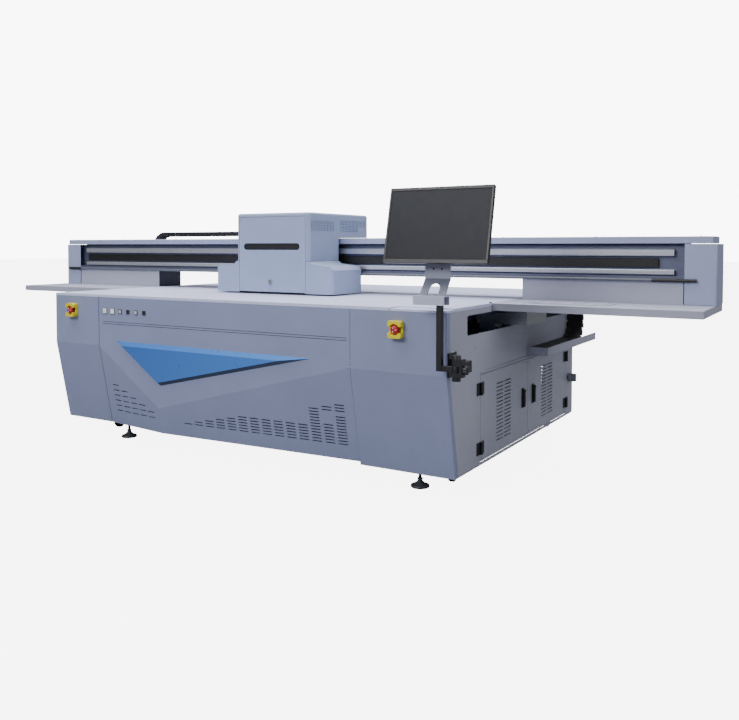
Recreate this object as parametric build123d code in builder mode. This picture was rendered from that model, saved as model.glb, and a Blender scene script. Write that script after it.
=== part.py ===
"""Flatbed UV printer: a cabinet with a fixed bed and a gantry that travels over it with the print carriage.

Millimetres, +X to the right along the gantry, +Y towards the rear, +Z up, floor at Z = 0.
The origin is the middle of the cabinet's footprint.
"""

import os
from math import cos, radians, sin

from build123d import *

os.makedirs("parts", exist_ok=True)

# Cabinet
body_length = 2600.0
body_depth = 1850.0
bed_height = 860.0
skirt_height = 100.0          # underside of the cabinet, left and middle
right_skirt_height = 85.0     # underside at the right end, a little lower
crease_height = 565.0         # where the front starts to lean back
toe_recess = 93.0             # how far the front has leaned back at the skirt
sheet = 3.0                   # body panels
seam = 4.0                    # gap between neighbouring front panels
corner_return = 30.0          # how far a front pillar wraps onto the side
panel_top_gap = 14.0          # bed edge that shows above the panels
left_split_x = -924.0         # seam between left pillar and front panel
right_split_x = 798.0
facet_apex_x = -452.0         # lower point of the front panel's flat triangle
facet_apex_z = 243.0
facet_left_x = -926.0
facet_right_x = 758.0

# Front details
trim_left = (-772.0, 599.0)   # corners of the raised triangle, x and z
trim_right = (581.0, 595.0)
trim_low = (-432.0, 372.0)
trim_thickness = 14.0
trim_bevel = 11.0
groove_heights = (694.0, 706.0)
groove_width = 3.0
groove_depth = 1.2
groove_right_x = 780.0
slot_length = 56.0
slot_height = 5.5
small_vent_rows = (1, 2, 3, 4, 5, 5)
small_vent_x = -825.0         # first slot of each row
small_vent_top_z = 337.0
small_vent_pitch = 75.0
small_vent_row_pitch = 30.6
large_vent_columns = (1, 2, 3, 4, 5, 6, 6, 6, 6, 6, 6, 12, 13, 14)
large_vent_blanks = {12: (7, 8, 9, 10), 13: (10,)}
large_vent_x = -254.0         # leftmost column
large_vent_low_z = 178.0
large_vent_pitch = 74.5
large_vent_row_pitch = 15.2
control_row_z = 767.0
button_pitch = 63.0
button_start_x = -872.0
button_size = 28.0
button_travel = 3.0
lamp_size = 20.0
estop_left_x = -1138.0
estop_right_x = 1053.0
estop_z = 763.0
estop_guard_width = 70.0
estop_guard_rise = 80.0
estop_guard_height = 34.0
estop_stem_radius = 11.0
estop_well_radius = 26.0
estop_head_radius = 21.5
estop_notch_inner = 18.0
estop_travel = 6.0

# Frame
tube = 60.0
tube_wall = 4.0
post_x = 1220.0
front_post_inset = 175.0
rear_post_inset = 53.0
side_beam_width = 100.0
side_beam_top = 660.0
floor_pan_top = 110.0
bed_prop_x = 700.0

# Bed
bed_plate = 36.0
bed_inset = 6.0               # step under the bed plate that clears the panels
plenum_depth = 78.0
plenum_half_length = 1080.0
plenum_half_depth = 800.0
plenum_wall = 4.0
corner_cover_length = 292.0
corner_cover_depth = 90.0
corner_cover_drop = 5.0

# Side panels and doors
slot_low_z = 725.0
slot_high_z = 818.0
slot_front_y = -705.0
slot_rear_y = 847.0
door_front_y = -548.0
door_rear_y = 775.0
door_meeting_y = 105.0
door_top_z = 522.0
door_low_z = 103.0
door_depth = 18.0
door_gap = 3.0
louvre_length = 92.0
louvre_height = 6.0
louvre_pitch = 19.0
louvre_rows = 16
louvre_low_z = 165.0
hinge_height = 60.0
hinge_low_z = 140.0
hinge_high_z = 427.0
hinge_axis_out = 9.0
hinge_barrel = 7.0
hinge_pin = 3.0
hinge_leaf = 4.0
hinge_leaf_width = 42.0
handle_height = 106.0
handle_low_z = 267.0
handle_plate_width = 32.0
handle_plate = 6.0
handle_width = 16.0
handle_standoff = 18.0
handle_from_meeting = 80.0

# Fits
running_gap = 0.05            # radial, shafts and pins in their bores
slide_gap = 0.3               # between sliding faces

# Feet and casters
foot_pad_radius = 45.0
foot_stem_radius = 8.0
foot_left_x = -875.0
foot_right_x = 1080.0
caster_left_x = -1110.0
caster_right_x = 1185.0
caster_front_y = -630.0
wheel_radius = 36.0
wheel_width = 26.0
wheel_lift = 6.0
caster_plate = 7.0
fork_wall = 4.0
caster_offset = 18.0
axle_radius = 5.0
kingpin_radius = 6.0

# Gantry
gantry_half_length = 2278.0
gantry_top = 1187.0
gantry_front_y = -55.0
gantry_rear_y = 155.0
beam_low_z = 970.0
beam_top_z = 1145.0
beam_recess = 40.0
beam_wall = 8.0
beam_lip = 25.0
recess_half_length = 2133.0
cap_low_z = 1153.0
cap_inset = 20.0
riser_inner_x = 1325.0
tray_thickness = 36.0
tray_front_y = -415.0
tray_gap = 4.0                # between a tray and the cabinet side
tray_right_x = 2275.0
tray_left_x = -2290.0
upper_rail_z = 1109.0         # centres of the two X rails
lower_rail_z = 1013.0
upper_rail_height = 34.0
lower_rail_height = 24.0
x_rail_depth = 28.0
magnet_low_z = 1036.0
magnet_high_z = 1080.0
magnet_depth = 18.0
crash_bar_radius = 8.0
crash_bar_z = 975.0
y_rail_x = 1225.0
y_rail_width = 30.0
y_rail_height = 28.0
arm_front_y = -245.0
arm_rear_y = 55.0
arm_low_z = 740.0
arm_high_z = 800.0
arm_inner_x = 1150.0
arm_outer_x = 1420.0

# Energy chains
y_chain_width = 100.0
y_chain_height = 35.0
y_chain_inner_x = 1310.0
y_chain_low_z = 552.0
y_chain_bend_y = 662.0        # centre of the bend at rest
y_chain_fixed_y = 90.0
trough_front_y = 80.0
trough_rear_y = 1010.0
trough_width = 122.0
trough_height = 44.0
x_chain_width = 75.0
x_chain_height = 32.0
x_chain_front_y = 168.0
x_chain_low_z = 1006.0
x_chain_high_z = 1240.0
x_chain_bend_x = -1500.0
x_chain_fixed_x = 40.0
x_chain_end_x = -352.0

# Carriage
carriage_left = -347.0        # upper cover
carriage_right = 183.0
carriage_top = 1333.0
carriage_front_y = -385.0
carriage_rear_y = 248.0
carriage_step_y = -80.0
carriage_low_z = 868.0
wing_left = -506.0            # lower cover
wing_right = 342.0
wing_top_z = 1025.0
cover_seat_z = 1052.0
hatch_left = -324.0
hatch_right = 157.0
hatch_top = 1309.0
cover_bevel = 16.0            # upright front corners of the upper cover
wing_bevel = 12.0             # and of the lower one
side_vent_areas = ((-365, -125, 1226, 1289), (-63, 235, 1225, 1302))
side_vent_pitch = (16.0, 10.0)
window_left = -289.0
window_right = 117.0
window_low_z = 1118.0
window_high_z = 1156.0
lock_x = -94.0
lock_z = 931.0
head_plate_z = 876.0
head_columns = 4
head_pitch = 62.0

# Operator screen
post_size = 25.0
post_x_centre = 1291.0
post_y_centre = -975.0
elbow_low_z = 598.0
swivel_x = 1370.0
swivel_pin_radius = 10.0
screen_width = 505.0
screen_height = 345.0
screen_depth = 45.0
screen_left_x = 1010.0
screen_front_y = -985.0
screen_low_z = 1066.0
screen_lean = 12.7
stand_left_x = 1190.0
stand_right_x = 1315.0
stand_sheet = 4.0
arch_half = 26.0              # cable arch through the stand
arch_centre_z = 949.0
tilt_axis_y = -917.0
tilt_axis_z = 1118.0

# Worked out from the values above
half_length = body_length / 2
front = -body_depth / 2
rear = body_depth / 2
panel_top = bed_height - panel_top_gap
tray_low_z = bed_height - 1 - tray_thickness
tray_high_z = bed_height - 1
front_post_y = front + front_post_inset
rear_post_y = rear - rear_post_inset
mid_post_y = door_meeting_y
beam_back_y = gantry_front_y + beam_recess


def keep(name, shape):
    """Label a finished piece and write its STEP file."""
    shape.label = name
    export_step(shape, f"parts/{name}.step")


def keep_group(name, builders):
    """Write pieces that share a node, each one a solid of its own."""
    keep(name, Compound(children=[builder.part for builder in builders]))


def block(x0, x1, y0, y1, z0, z1, mode=Mode.ADD):
    """A rectangular block between two opposite corners."""
    with Locations(((x0 + x1) / 2, (y0 + y1) / 2, (z0 + z1) / 2)):
        Box(x1 - x0, y1 - y0, z1 - z0, mode=mode)


def round_bar(axis, across, radius, low, high, mode=Mode.ADD):
    """A round bar along an axis; across holds the centre's other two coordinates in X, Y, Z order."""
    middle = (low + high) / 2
    centres = {"X": (middle, *across), "Y": (across[0], middle, across[1]), "Z": (*across, middle)}
    turns = {"X": (0, 90, 0), "Y": (90, 0, 0), "Z": (0, 0, 0)}
    with Locations(centres[axis]):
        Cylinder(radius, high - low, rotation=turns[axis], mode=mode)


def hollow_box(x0, x1, y0, y1, z0, z1, wall):
    """A closed box of sheet."""
    block(x0, x1, y0, y1, z0, z1)
    block(x0 + wall, x1 - wall, y0 + wall, y1 - wall, z0 + wall, z1 - wall, mode=Mode.SUBTRACT)


def frame_tube(axis, across, low, high, width=tube, height=tube):
    """A square tube along an axis, as a builder of its own."""
    planes = {
        "X": Plane(origin=(low, *across), x_dir=(0, 1, 0), z_dir=(1, 0, 0)),
        "Y": Plane(origin=(across[0], low, across[1]), x_dir=(1, 0, 0), z_dir=(0, 1, 0)),
        "Z": Plane(origin=(*across, low), x_dir=(1, 0, 0), z_dir=(0, 0, 1)),
    }
    with BuildPart() as bar:
        with BuildSketch(planes[axis]):
            Rectangle(width, height)
            Rectangle(width - 2 * tube_wall, height - 2 * tube_wall, mode=Mode.SUBTRACT)
        extrude(amount=high - low)
    return bar


def plane_through(low, right, high):
    """The plane through three points, with its normal to the rear."""
    a, b, c = Vector(*low), Vector(*right), Vector(*high)
    normal = (b - a).cross(c - a).normalized()
    if normal.Y < 0:
        normal = normal * -1
    return Plane(origin=a, x_dir=(b - a).normalized(), z_dir=normal)


# ---------------------------------------------------------------- base frame
foot_places = [
    (x, y) for y in (front_post_y, rear_post_y) for x in (foot_left_x, foot_right_x)
]
frame_low = floor_pan_top
frame_pieces = []
beam_low = side_beam_top - tube
for side in (-1, 1):
    for y in (front_post_y, mid_post_y, rear_post_y):
        frame_pieces.append(frame_tube("Z", (side * post_x, y), frame_low, beam_low))
    beam_x = side * (post_x + tube / 2 - side_beam_width / 2)
    frame_pieces.append(
        frame_tube("Y", (beam_x, beam_low + tube / 2), front_post_y - tube / 2,
                   rear_post_y + tube / 2, side_beam_width, tube)
    )
    for y0, y1 in ((front_post_y, mid_post_y), (mid_post_y, rear_post_y)):
        frame_pieces.append(
            frame_tube("Y", (side * post_x, frame_low + tube / 2), y0 + tube / 2, y1 - tube / 2)
        )
inner_post_x = post_x - tube / 2
inner_beam_x = post_x + tube / 2 - side_beam_width
for y in (front_post_y, mid_post_y, rear_post_y):
    low_tube = frame_tube("X", (y, frame_low + tube / 2), -inner_post_x, inner_post_x)
    with BuildPart() as drilled:
        add(low_tube.part)
        for foot_x, foot_y in foot_places:
            if foot_y == y:
                hole = foot_stem_radius + running_gap
                round_bar("Z", (foot_x, foot_y), hole, frame_low - 1, frame_low + tube_wall + 1,
                          mode=Mode.SUBTRACT)
    frame_pieces.append(drilled)
plenum_low = bed_height - bed_plate - plenum_depth
for y in (front_post_y + 100, mid_post_y, rear_post_y - 100):
    frame_pieces.append(frame_tube("X", (y, beam_low + tube / 2), -inner_beam_x, inner_beam_x))
    for x in (-bed_prop_x, 0, bed_prop_x):
        frame_pieces.append(frame_tube("Z", (x, y), side_beam_top, plenum_low))

with BuildPart() as floor_pan:
    block(-post_x - tube / 2, post_x + tube / 2, front_post_y - tube / 2, rear_post_y + tube / 2,
          frame_low - sheet, frame_low)
    for foot_x, foot_y in foot_places:
        round_bar("Z", (foot_x, foot_y), 18, frame_low - sheet - 14, frame_low - sheet)
        round_bar("Z", (foot_x, foot_y), foot_stem_radius + running_gap,
                  frame_low - sheet - 15, frame_low + 1, mode=Mode.SUBTRACT)
frame_pieces.append(floor_pan)

# ---------------------------------------------------------------- feet and casters
foot_names = ("foot_front_left", "foot_front_right", "foot_rear_left", "foot_rear_right")
for name, (x, y) in zip(foot_names, foot_places):
    with BuildPart() as foot:
        round_bar("Z", (x, y), foot_pad_radius, 0, 12)
        with Locations((x, y, 21)):
            Cone(foot_pad_radius - 8, 14, 18)
        round_bar("Z", (x, y), foot_stem_radius, 29, frame_low + 40)
        with Locations((x, y, 40)):
            with BuildSketch(Plane.XY.offset(36)):
                with Locations((x, y)):
                    RegularPolygon(14, 6)
            extrude(amount=9)
    keep(name, foot.part)

caster_top = frame_low - sheet
axle_z = wheel_radius + wheel_lift
caster_rear_y = rear_post_y - (caster_front_y - front_post_y)


def caster_fork(x, y):
    """A caster's plate, swivel head and fork, trailing to the rear."""
    with BuildPart() as fork:
        head_z = caster_top - caster_plate
        round_bar("Z", (x, y), 24, head_z - 8, head_z)
        round_bar("Z", (x, y), kingpin_radius, head_z, caster_top - 2)
        crown_low = axle_z + wheel_radius + 3
        half = wheel_width / 2 + 2 + fork_wall
        block(x - half, x + half, y - 20, y + caster_offset + 14, crown_low, head_z - 8)
        for side in (-1, 1):
            inner = x + side * (wheel_width / 2 + 2)
            outer = inner + side * fork_wall
            block(min(inner, outer), max(inner, outer), y + caster_offset - 14,
                  y + caster_offset + 14, axle_z - 12, crown_low)
        round_bar("X", (y + caster_offset, axle_z), axle_radius, x - half - 3, x + half + 3)
    return fork


def caster_mount(x, y, gap):
    """The flange that a caster's swivel head turns under."""
    with BuildPart() as mount:
        block(x - 48, x + 48, y - 40, y + 40, caster_top - caster_plate + gap, caster_top)
        round_bar("Z", (x, y), kingpin_radius + running_gap, caster_top - caster_plate - 1,
                  caster_top - 1.5, mode=Mode.SUBTRACT)
    return mount


def caster_wheel(x, y):
    """A wheel on its axle."""
    with BuildPart() as wheel:
        with BuildSketch(Plane.XZ.offset(-(y + caster_offset))):
            with Locations((x, axle_z + wheel_radius / 2 + (axle_radius + running_gap) / 2)):
                Rectangle(wheel_width, wheel_radius - axle_radius - running_gap)
        axis = Axis((x, y + caster_offset, axle_z), (1, 0, 0))
        revolve(axis=axis)
        rims = wheel.edges().filter_by(GeomType.CIRCLE).sort_by(lambda e: e.radius)[-2:]
        fillet(rims, 5)
    return wheel


caster_sites = {
    "front_left": (caster_left_x, caster_front_y),
    "front_right": (caster_right_x, caster_front_y),
    "rear_left": (caster_left_x, caster_rear_y),
    "rear_right": (caster_right_x, caster_rear_y),
}
for place, (x, y) in caster_sites.items():
    keep(f"wheel_{place}", caster_wheel(x, y).part)
for place in ("front_left", "front_right"):
    keep(f"caster_fork_{place}", caster_fork(*caster_sites[place]).part)
for place, site in caster_sites.items():
    fixed = place.startswith("rear")
    frame_pieces.append(caster_mount(*site, 0 if fixed else 0.5))
    if fixed:
        frame_pieces.append(caster_fork(*site))
keep_group("base_frame", frame_pieces)

# ---------------------------------------------------------------- faceted front
low_left = (left_split_x, front + toe_recess, skirt_height)
low_right = (right_split_x, front + toe_recess, skirt_height)
apex = (facet_apex_x, front, facet_apex_z)
left_facet = plane_through(low_left, apex, (facet_left_x, front, crease_height))
right_facet = plane_through(apex, low_right, (facet_right_x, front, crease_height - 8))
lean_depth = 130.0


def facet_form(x0, x1, shift, planes, low):
    """The space behind a front panel's outer face, moved back by shift."""
    top = panel_top if low in (skirt_height, right_skirt_height) else panel_top + 1
    block(x0, x1, front + shift, front + lean_depth, low, top)
    for plane in planes:
        split(bisect_by=plane.offset(shift * plane.z_dir.Y), keep=Keep.TOP)


def pillar_lean(low):
    """The plane that a pillar leans back in, from the crease to its skirt."""
    return plane_through((0, front + toe_recess, low), (100, front + toe_recess, low),
                         (0, front, crease_height))


front_left_edge = left_split_x + seam / 2
front_right_edge = right_split_x - seam / 4
with BuildPart() as front_core:
    facet_form(front_left_edge - 1, front_right_edge + 1, sheet, (left_facet, right_facet),
               skirt_height - 1)
with BuildPart() as front_panel:
    facet_form(front_left_edge, front_right_edge, 0, (left_facet, right_facet), skirt_height)
    add(front_core.part, mode=Mode.SUBTRACT)
    for z in groove_heights:
        block(front_left_edge + 30, groove_right_x, front - 1, front + groove_depth,
              z - groove_width / 2, z + groove_width / 2, mode=Mode.SUBTRACT)
    for index in range(2):
        x = button_start_x + index * button_pitch
        half = button_size / 2 + slide_gap
        block(x - half, x + half, front - 1, front + sheet + 1, control_row_z - half,
              control_row_z + half, mode=Mode.SUBTRACT)
    cut_depth = 60.0
    with BuildSketch(Plane.XZ.offset(-front - cut_depth * 2)) as vents:
        for row, count in enumerate(small_vent_rows):
            for step in range(count):
                with Locations((small_vent_x + step * small_vent_pitch,
                                small_vent_top_z - small_vent_row_pitch * row)):
                    SlotOverall(slot_length, slot_height)
        for column, count in enumerate(large_vent_columns):
            for step in range(count):
                if step in large_vent_blanks.get(column, ()):
                    continue
                with Locations((large_vent_x + column * large_vent_pitch,
                                large_vent_low_z + large_vent_row_pitch * step)):
                    SlotOverall(slot_length, slot_height)
    extrude(amount=cut_depth * 4, mode=Mode.SUBTRACT)
keep("front_panel", front_panel.part)


def front_pillar(inner_x, side, low):
    """A corner pillar: its leaning face and the return along the cabinet's side."""
    outer_x = side * half_length
    x0, x1 = min(inner_x, outer_x), max(inner_x, outer_x)
    lean = pillar_lean(low)
    shift_x = -sheet * side
    with BuildPart() as core:
        facet_form(x0 + shift_x, x1 + shift_x, sheet, (lean,), low - 1)
    with BuildPart() as back_core:
        facet_form(x0 - 1, x1 + 1, sheet + corner_return, (lean,), low - 1)
    with BuildPart() as pillar:
        facet_form(x0, x1, 0, (lean,), low)
        add(core.part, mode=Mode.SUBTRACT)
        add(back_core.part, mode=Mode.SUBTRACT)
        x = estop_right_x if side > 0 else estop_left_x
        round_bar("Y", (x, estop_z), estop_stem_radius + 0.1, front - 1, front + sheet + 1,
                  mode=Mode.SUBTRACT)
    return pillar


keep_group(
    "front_pillars",
    (
        front_pillar(left_split_x - seam / 2, -1, skirt_height),
        front_pillar(right_split_x + seam / 4, 1, right_skirt_height),
    ),
)

with BuildPart() as blue_trim:
    with BuildSketch(Plane.XZ.offset(-front)):
        with BuildLine():
            Polyline(trim_left, trim_right, trim_low, close=True)
        make_face()
    extrude(amount=trim_thickness)
    outer_face = blue_trim.faces().sort_by(Axis.Y)[0]
    chamfer(outer_face.edges(), trim_bevel)
keep("blue_trim", blue_trim.part)

# ---------------------------------------------------------------- controls on the front
guards = []
for name, x in (("estop_head_left", estop_left_x), ("estop_head_right", estop_right_x)):
    with BuildPart() as guard:
        with BuildSketch(Plane.XZ.offset(-front)):
            with Locations((x, estop_z)):
                RectangleRounded(estop_guard_width, estop_guard_rise, 12)
                Circle(estop_stem_radius + 0.1, mode=Mode.SUBTRACT)
        extrude(amount=estop_guard_height)
        round_bar("Y", (x, estop_z), estop_well_radius, front - estop_guard_height - 1, front - 5,
                  mode=Mode.SUBTRACT)
        for side in (-1, 1):
            near, far = x + side * estop_notch_inner, x + side * (estop_guard_width / 2 + 1)
            block(min(near, far), max(near, far), front - estop_guard_height - 1, front - 14,
                  estop_z - 14, estop_z + 14, mode=Mode.SUBTRACT)
    guards.append(guard)
    with BuildPart() as head:
        round_bar("Y", (x, estop_z), estop_stem_radius, front - 20, front + 12)
        round_bar("Y", (x, estop_z), estop_head_radius, front - 36, front - 20)
        rim = head.edges().filter_by(GeomType.CIRCLE).group_by(Axis.Y)[0]
        fillet(rim, 7)
    keep(name, head.part)
keep_group("estop_guards", guards)

button_face = front - 5
for index, name in enumerate(("push_button_start", "push_button_home")):
    x = button_start_x + index * button_pitch
    half = button_size / 2
    with BuildPart() as button:
        block(x - half, x + half, button_face, front + 10, control_row_z - half,
              control_row_z + half)
        chamfer(button.faces().sort_by(Axis.Y)[0].edges(), 2)
    keep(name, button.part)

panel_fittings = []
for index in range(2):
    x = button_start_x + index * button_pitch
    half = button_size / 2 + 6
    with BuildPart() as switch_body:
        block(x - half, x + half, front + sheet, front + 40, control_row_z - half,
              control_row_z + half)
        pocket = button_size / 2 + slide_gap
        block(x - pocket, x + pocket, front + sheet - 1, front + 10 + button_travel + 1,
              control_row_z - pocket, control_row_z + pocket, mode=Mode.SUBTRACT)
    panel_fittings.append(switch_body)
for index in range(2, 6):
    x = button_start_x + index * button_pitch
    with BuildPart() as lamp:
        block(x - lamp_size / 2, x + lamp_size / 2, front - 4, front,
              control_row_z - lamp_size / 2, control_row_z + lamp_size / 2)
        chamfer(lamp.faces().sort_by(Axis.Y)[0].edges(), 1.5)
    panel_fittings.append(lamp)
keep_group("control_panel_fittings", panel_fittings)

# ---------------------------------------------------------------- side and rear panels
side_front_y = front + corner_return + sheet + 1


def side_panel(side, low):
    """A cabinet side with the slot that the gantry arm passes through."""
    with BuildPart() as panel:
        with BuildSketch(Plane.YZ.offset(side * half_length - (sheet if side > 0 else 0))):
            with BuildLine():
                Polyline(
                    (side_front_y, panel_top),
                    (side_front_y, crease_height),
                    (side_front_y + toe_recess, low),
                    (rear - sheet - 1, low),
                    (rear - sheet - 1, panel_top),
                    close=True,
                )
            make_face()
            with Locations(((slot_front_y + slot_rear_y) / 2, (slot_low_z + slot_high_z) / 2)):
                RectangleRounded(slot_rear_y - slot_front_y, slot_high_z - slot_low_z, 12,
                                 mode=Mode.SUBTRACT)
        extrude(amount=sheet)
    return panel


left_side_panel = side_panel(-1, skirt_height)
keep("left_side_panel", left_side_panel.part)
with BuildPart() as right_side_panel:
    add(side_panel(1, right_skirt_height).part)
    block(half_length - sheet - 1, half_length + 1, door_front_y - door_gap, door_rear_y + door_gap,
          door_low_z - door_gap, door_top_z + door_gap, mode=Mode.SUBTRACT)
    block(half_length, half_length + 5, door_front_y - 8, door_rear_y - 180,
          door_top_z + 12, door_top_z + 17)
    round_bar("X", (835, 320), 9 + running_gap, half_length - sheet - 1, half_length + 1,
              mode=Mode.SUBTRACT)
keep("right_side_panel", right_side_panel.part)

spigot_x = -600.0
spigot_z = 420.0
with BuildPart() as rear_panel:
    block(-half_length, half_length, rear - sheet, rear, skirt_height, panel_top)
    round_bar("Y", (spigot_x, spigot_z), 62, rear - 10, rear + 75)
    round_bar("Y", (spigot_x, spigot_z), 58, rear - 11, rear + 76, mode=Mode.SUBTRACT)
    with BuildSketch(Plane.XZ.offset(-rear + sheet + 5)):
        for column in range(4):
            for row in range(10):
                with Locations((-1050 + 700 * column, 180 + 22 * row)):
                    SlotOverall(120, 8)
    extrude(amount=-20, mode=Mode.SUBTRACT)
    block(880, 980, rear, rear + 30, 260, 350)
    block(895, 965, rear + 8, rear + 31, 275, 335, mode=Mode.SUBTRACT)
keep("rear_panel", rear_panel.part)

# ---------------------------------------------------------------- doors


def hinge_leaves(axis_y, direction, part_of):
    """Leaves and knuckles of one door's two hinges; direction points from the axis to the leaf."""
    axis_x = half_length + hinge_axis_out
    pieces = []
    for low in (hinge_low_z, hinge_high_z):
        third = hinge_height / 3
        with BuildPart() as leaf:
            edge = axis_y + direction * hinge_leaf_width
            inner = axis_y
            block(half_length, half_length + hinge_leaf, min(edge, inner), max(edge, inner),
                  low, low + hinge_height)
            if part_of == "body":
                for start in (low, low + 2 * third):
                    round_bar("Z", (axis_x, axis_y), hinge_barrel, start, start + third)
            middle = low + third
            if part_of == "body":
                reach = axis_y + direction * (hinge_barrel + 1)
                block(half_length, axis_x + hinge_barrel, min(axis_y - hinge_barrel, reach) - 1,
                      max(axis_y + hinge_barrel, reach) + 1, middle - 0.3, middle + third + 0.3,
                      mode=Mode.SUBTRACT)
                round_bar("Z", (axis_x, axis_y), hinge_pin, low, low + hinge_height)
            else:
                reach = axis_y + direction * (hinge_barrel + 1)
                for start, stop in ((low - 1, middle), (middle + third, low + hinge_height + 1)):
                    block(half_length, axis_x + hinge_barrel, min(axis_y, reach), max(axis_y, reach),
                          start, stop, mode=Mode.SUBTRACT)
                round_bar("Z", (axis_x, axis_y), hinge_barrel, middle, middle + third)
                round_bar("Z", (axis_x, axis_y), hinge_pin + running_gap, middle - 1,
                          middle + third + 1, mode=Mode.SUBTRACT)
        pieces.append(leaf)
    return pieces


def door(low_y, high_y, louvre_centres):
    """A folded door: an outer skin with returns all round and two columns of louvres."""
    with BuildPart() as panel:
        block(half_length - door_depth, half_length, low_y, high_y, door_low_z, door_top_z)
        block(half_length - door_depth - 1, half_length - sheet + 1, low_y + 2, high_y - 2,
              door_low_z + 2, door_top_z - 2, mode=Mode.SUBTRACT)
        with BuildSketch(Plane.YZ.offset(half_length - sheet - 2)):
            for y in louvre_centres:
                for row in range(louvre_rows):
                    with Locations((y, louvre_low_z + row * louvre_pitch)):
                        SlotOverall(louvre_length, louvre_height)
        extrude(amount=sheet + 4, mode=Mode.SUBTRACT)
    return panel


def door_handle(y):
    """A flat handle: a lever on a plate fixed to the door."""
    low, high = handle_low_z, handle_low_z + handle_height
    with BuildPart() as handle:
        block(half_length, half_length + handle_plate, y - handle_plate_width / 2,
              y + handle_plate_width / 2, low, high)
        fillet(handle.edges().filter_by(Axis.X), 6)
        block(half_length + handle_plate - 1, half_length + handle_standoff, y - handle_width / 2,
              y + handle_width / 2, low + 6, high - 6)
        chamfer(handle.faces().sort_by(Axis.X)[-1].edges(), 3)
    return handle


front_axis_y = door_front_y - 4
rear_axis_y = door_rear_y + 4
keep("door_front", door(door_front_y, door_meeting_y - door_gap / 2, (-298, -192)).part)
keep("door_rear", door(door_meeting_y + door_gap / 2, door_rear_y, (379, 485)).part)
keep_group("door_front_fittings",
           hinge_leaves(front_axis_y, 1, "door") + [door_handle(door_meeting_y - handle_from_meeting)])
keep_group("door_rear_fittings",
           hinge_leaves(rear_axis_y, -1, "door") + [door_handle(door_meeting_y + handle_from_meeting)])
keep_group("door_hinge_leaves",
           hinge_leaves(front_axis_y, -1, "body") + hinge_leaves(rear_axis_y, 1, "body"))

with BuildPart() as main_switch:
    round_bar("X", (835, 320), 9, half_length - 20, half_length + 12)
    round_bar("X", (835, 320), 27, half_length + 8, half_length + 22)
    block(half_length + 22, half_length + 52, 827, 843, 296, 344)
    fillet(main_switch.faces().sort_by(Axis.X)[-1].edges(), 3)
keep("main_switch", main_switch.part)

# ---------------------------------------------------------------- bed
bed_low = bed_height - bed_plate
with BuildPart() as bed_top:
    block(-half_length, half_length, front, rear, panel_top, bed_height)
    block(-half_length + bed_inset, half_length - bed_inset, front + bed_inset, rear - bed_inset,
          bed_low, panel_top)
    block(half_length - corner_cover_length, half_length + 1, front - 1,
          front + corner_cover_depth, bed_low - 1, bed_height + 1, mode=Mode.SUBTRACT)
with BuildPart() as bed_corner:
    block(half_length - corner_cover_length + 3, half_length, front,
          front + corner_cover_depth - 3, panel_top, bed_height - corner_cover_drop)
    block(half_length - corner_cover_length, half_length - bed_inset, front + bed_inset,
          front + corner_cover_depth, bed_low, panel_top)
with BuildPart() as plenum:
    hollow_box(-plenum_half_length, plenum_half_length, -plenum_half_depth, plenum_half_depth,
               plenum_low, bed_low, plenum_wall)
keep_group("print_bed", (bed_top, bed_corner, plenum))

blower_x = -350.0
with BuildPart() as blower_housing:
    round_bar("Y", (blower_x, 330), 150, 300, 440)
    block(blower_x - 110, blower_x + 110, 290, 450, frame_low, 200)
    round_bar("Y", (blower_x, 330), 85, 440, 700)
    round_bar("Z", (blower_x, 370), 45, 430, plenum_low)
keep("vacuum_blower", blower_housing.part)

# ---------------------------------------------------------------- things behind the doors
modules = []
with BuildPart() as back_plate:
    block(-1150, -1140, -600, 700, 200, 570)
modules.append(back_plate)
for index, (width, height) in enumerate(((150, 220), (150, 220), (110, 180), (110, 180), (200, 120))):
    with BuildPart() as module:
        y = -540 + index * 230
        block(-1140, -1020, y, y + width, 320, 320 + height)
    modules.append(module)
for y in (front_post_y, rear_post_y):
    with BuildPart() as stay:
        edge = -600 if y < 0 else 700
        block(-1190, -1140, min(y, edge), max(y, edge), 380, 420)
    modules.append(stay)
keep_group("control_modules", modules)

bottles = []
for index in range(6):
    x = 560 + index * 96
    with BuildPart() as bottle:
        block(x - 38, x + 38, -560, -440, frame_low, frame_low + 210)
        fillet(bottle.edges().filter_by(Axis.Z), 10)
        round_bar("Z", (x, -500), 17, frame_low + 210, frame_low + 240)
    bottles.append(bottle)
keep_group("ink_bottles", bottles)

# ---------------------------------------------------------------- Y rails
rail_y0 = slot_front_y - 20
rail_y1 = slot_rear_y + 20
tracks = []
for side in (-1, 1):
    with BuildPart() as rail:
        x = side * y_rail_x
        block(x - y_rail_width / 2, x + y_rail_width / 2, rail_y0, rail_y1, side_beam_top,
              side_beam_top + y_rail_height)
    with BuildPart() as magnets:
        x = side * (y_rail_x - 55)
        block(x - 15, x + 15, rail_y0, rail_y1, side_beam_top, side_beam_top + 12)
    tracks += [rail, magnets]
keep_group("y_rails", tracks)

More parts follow.
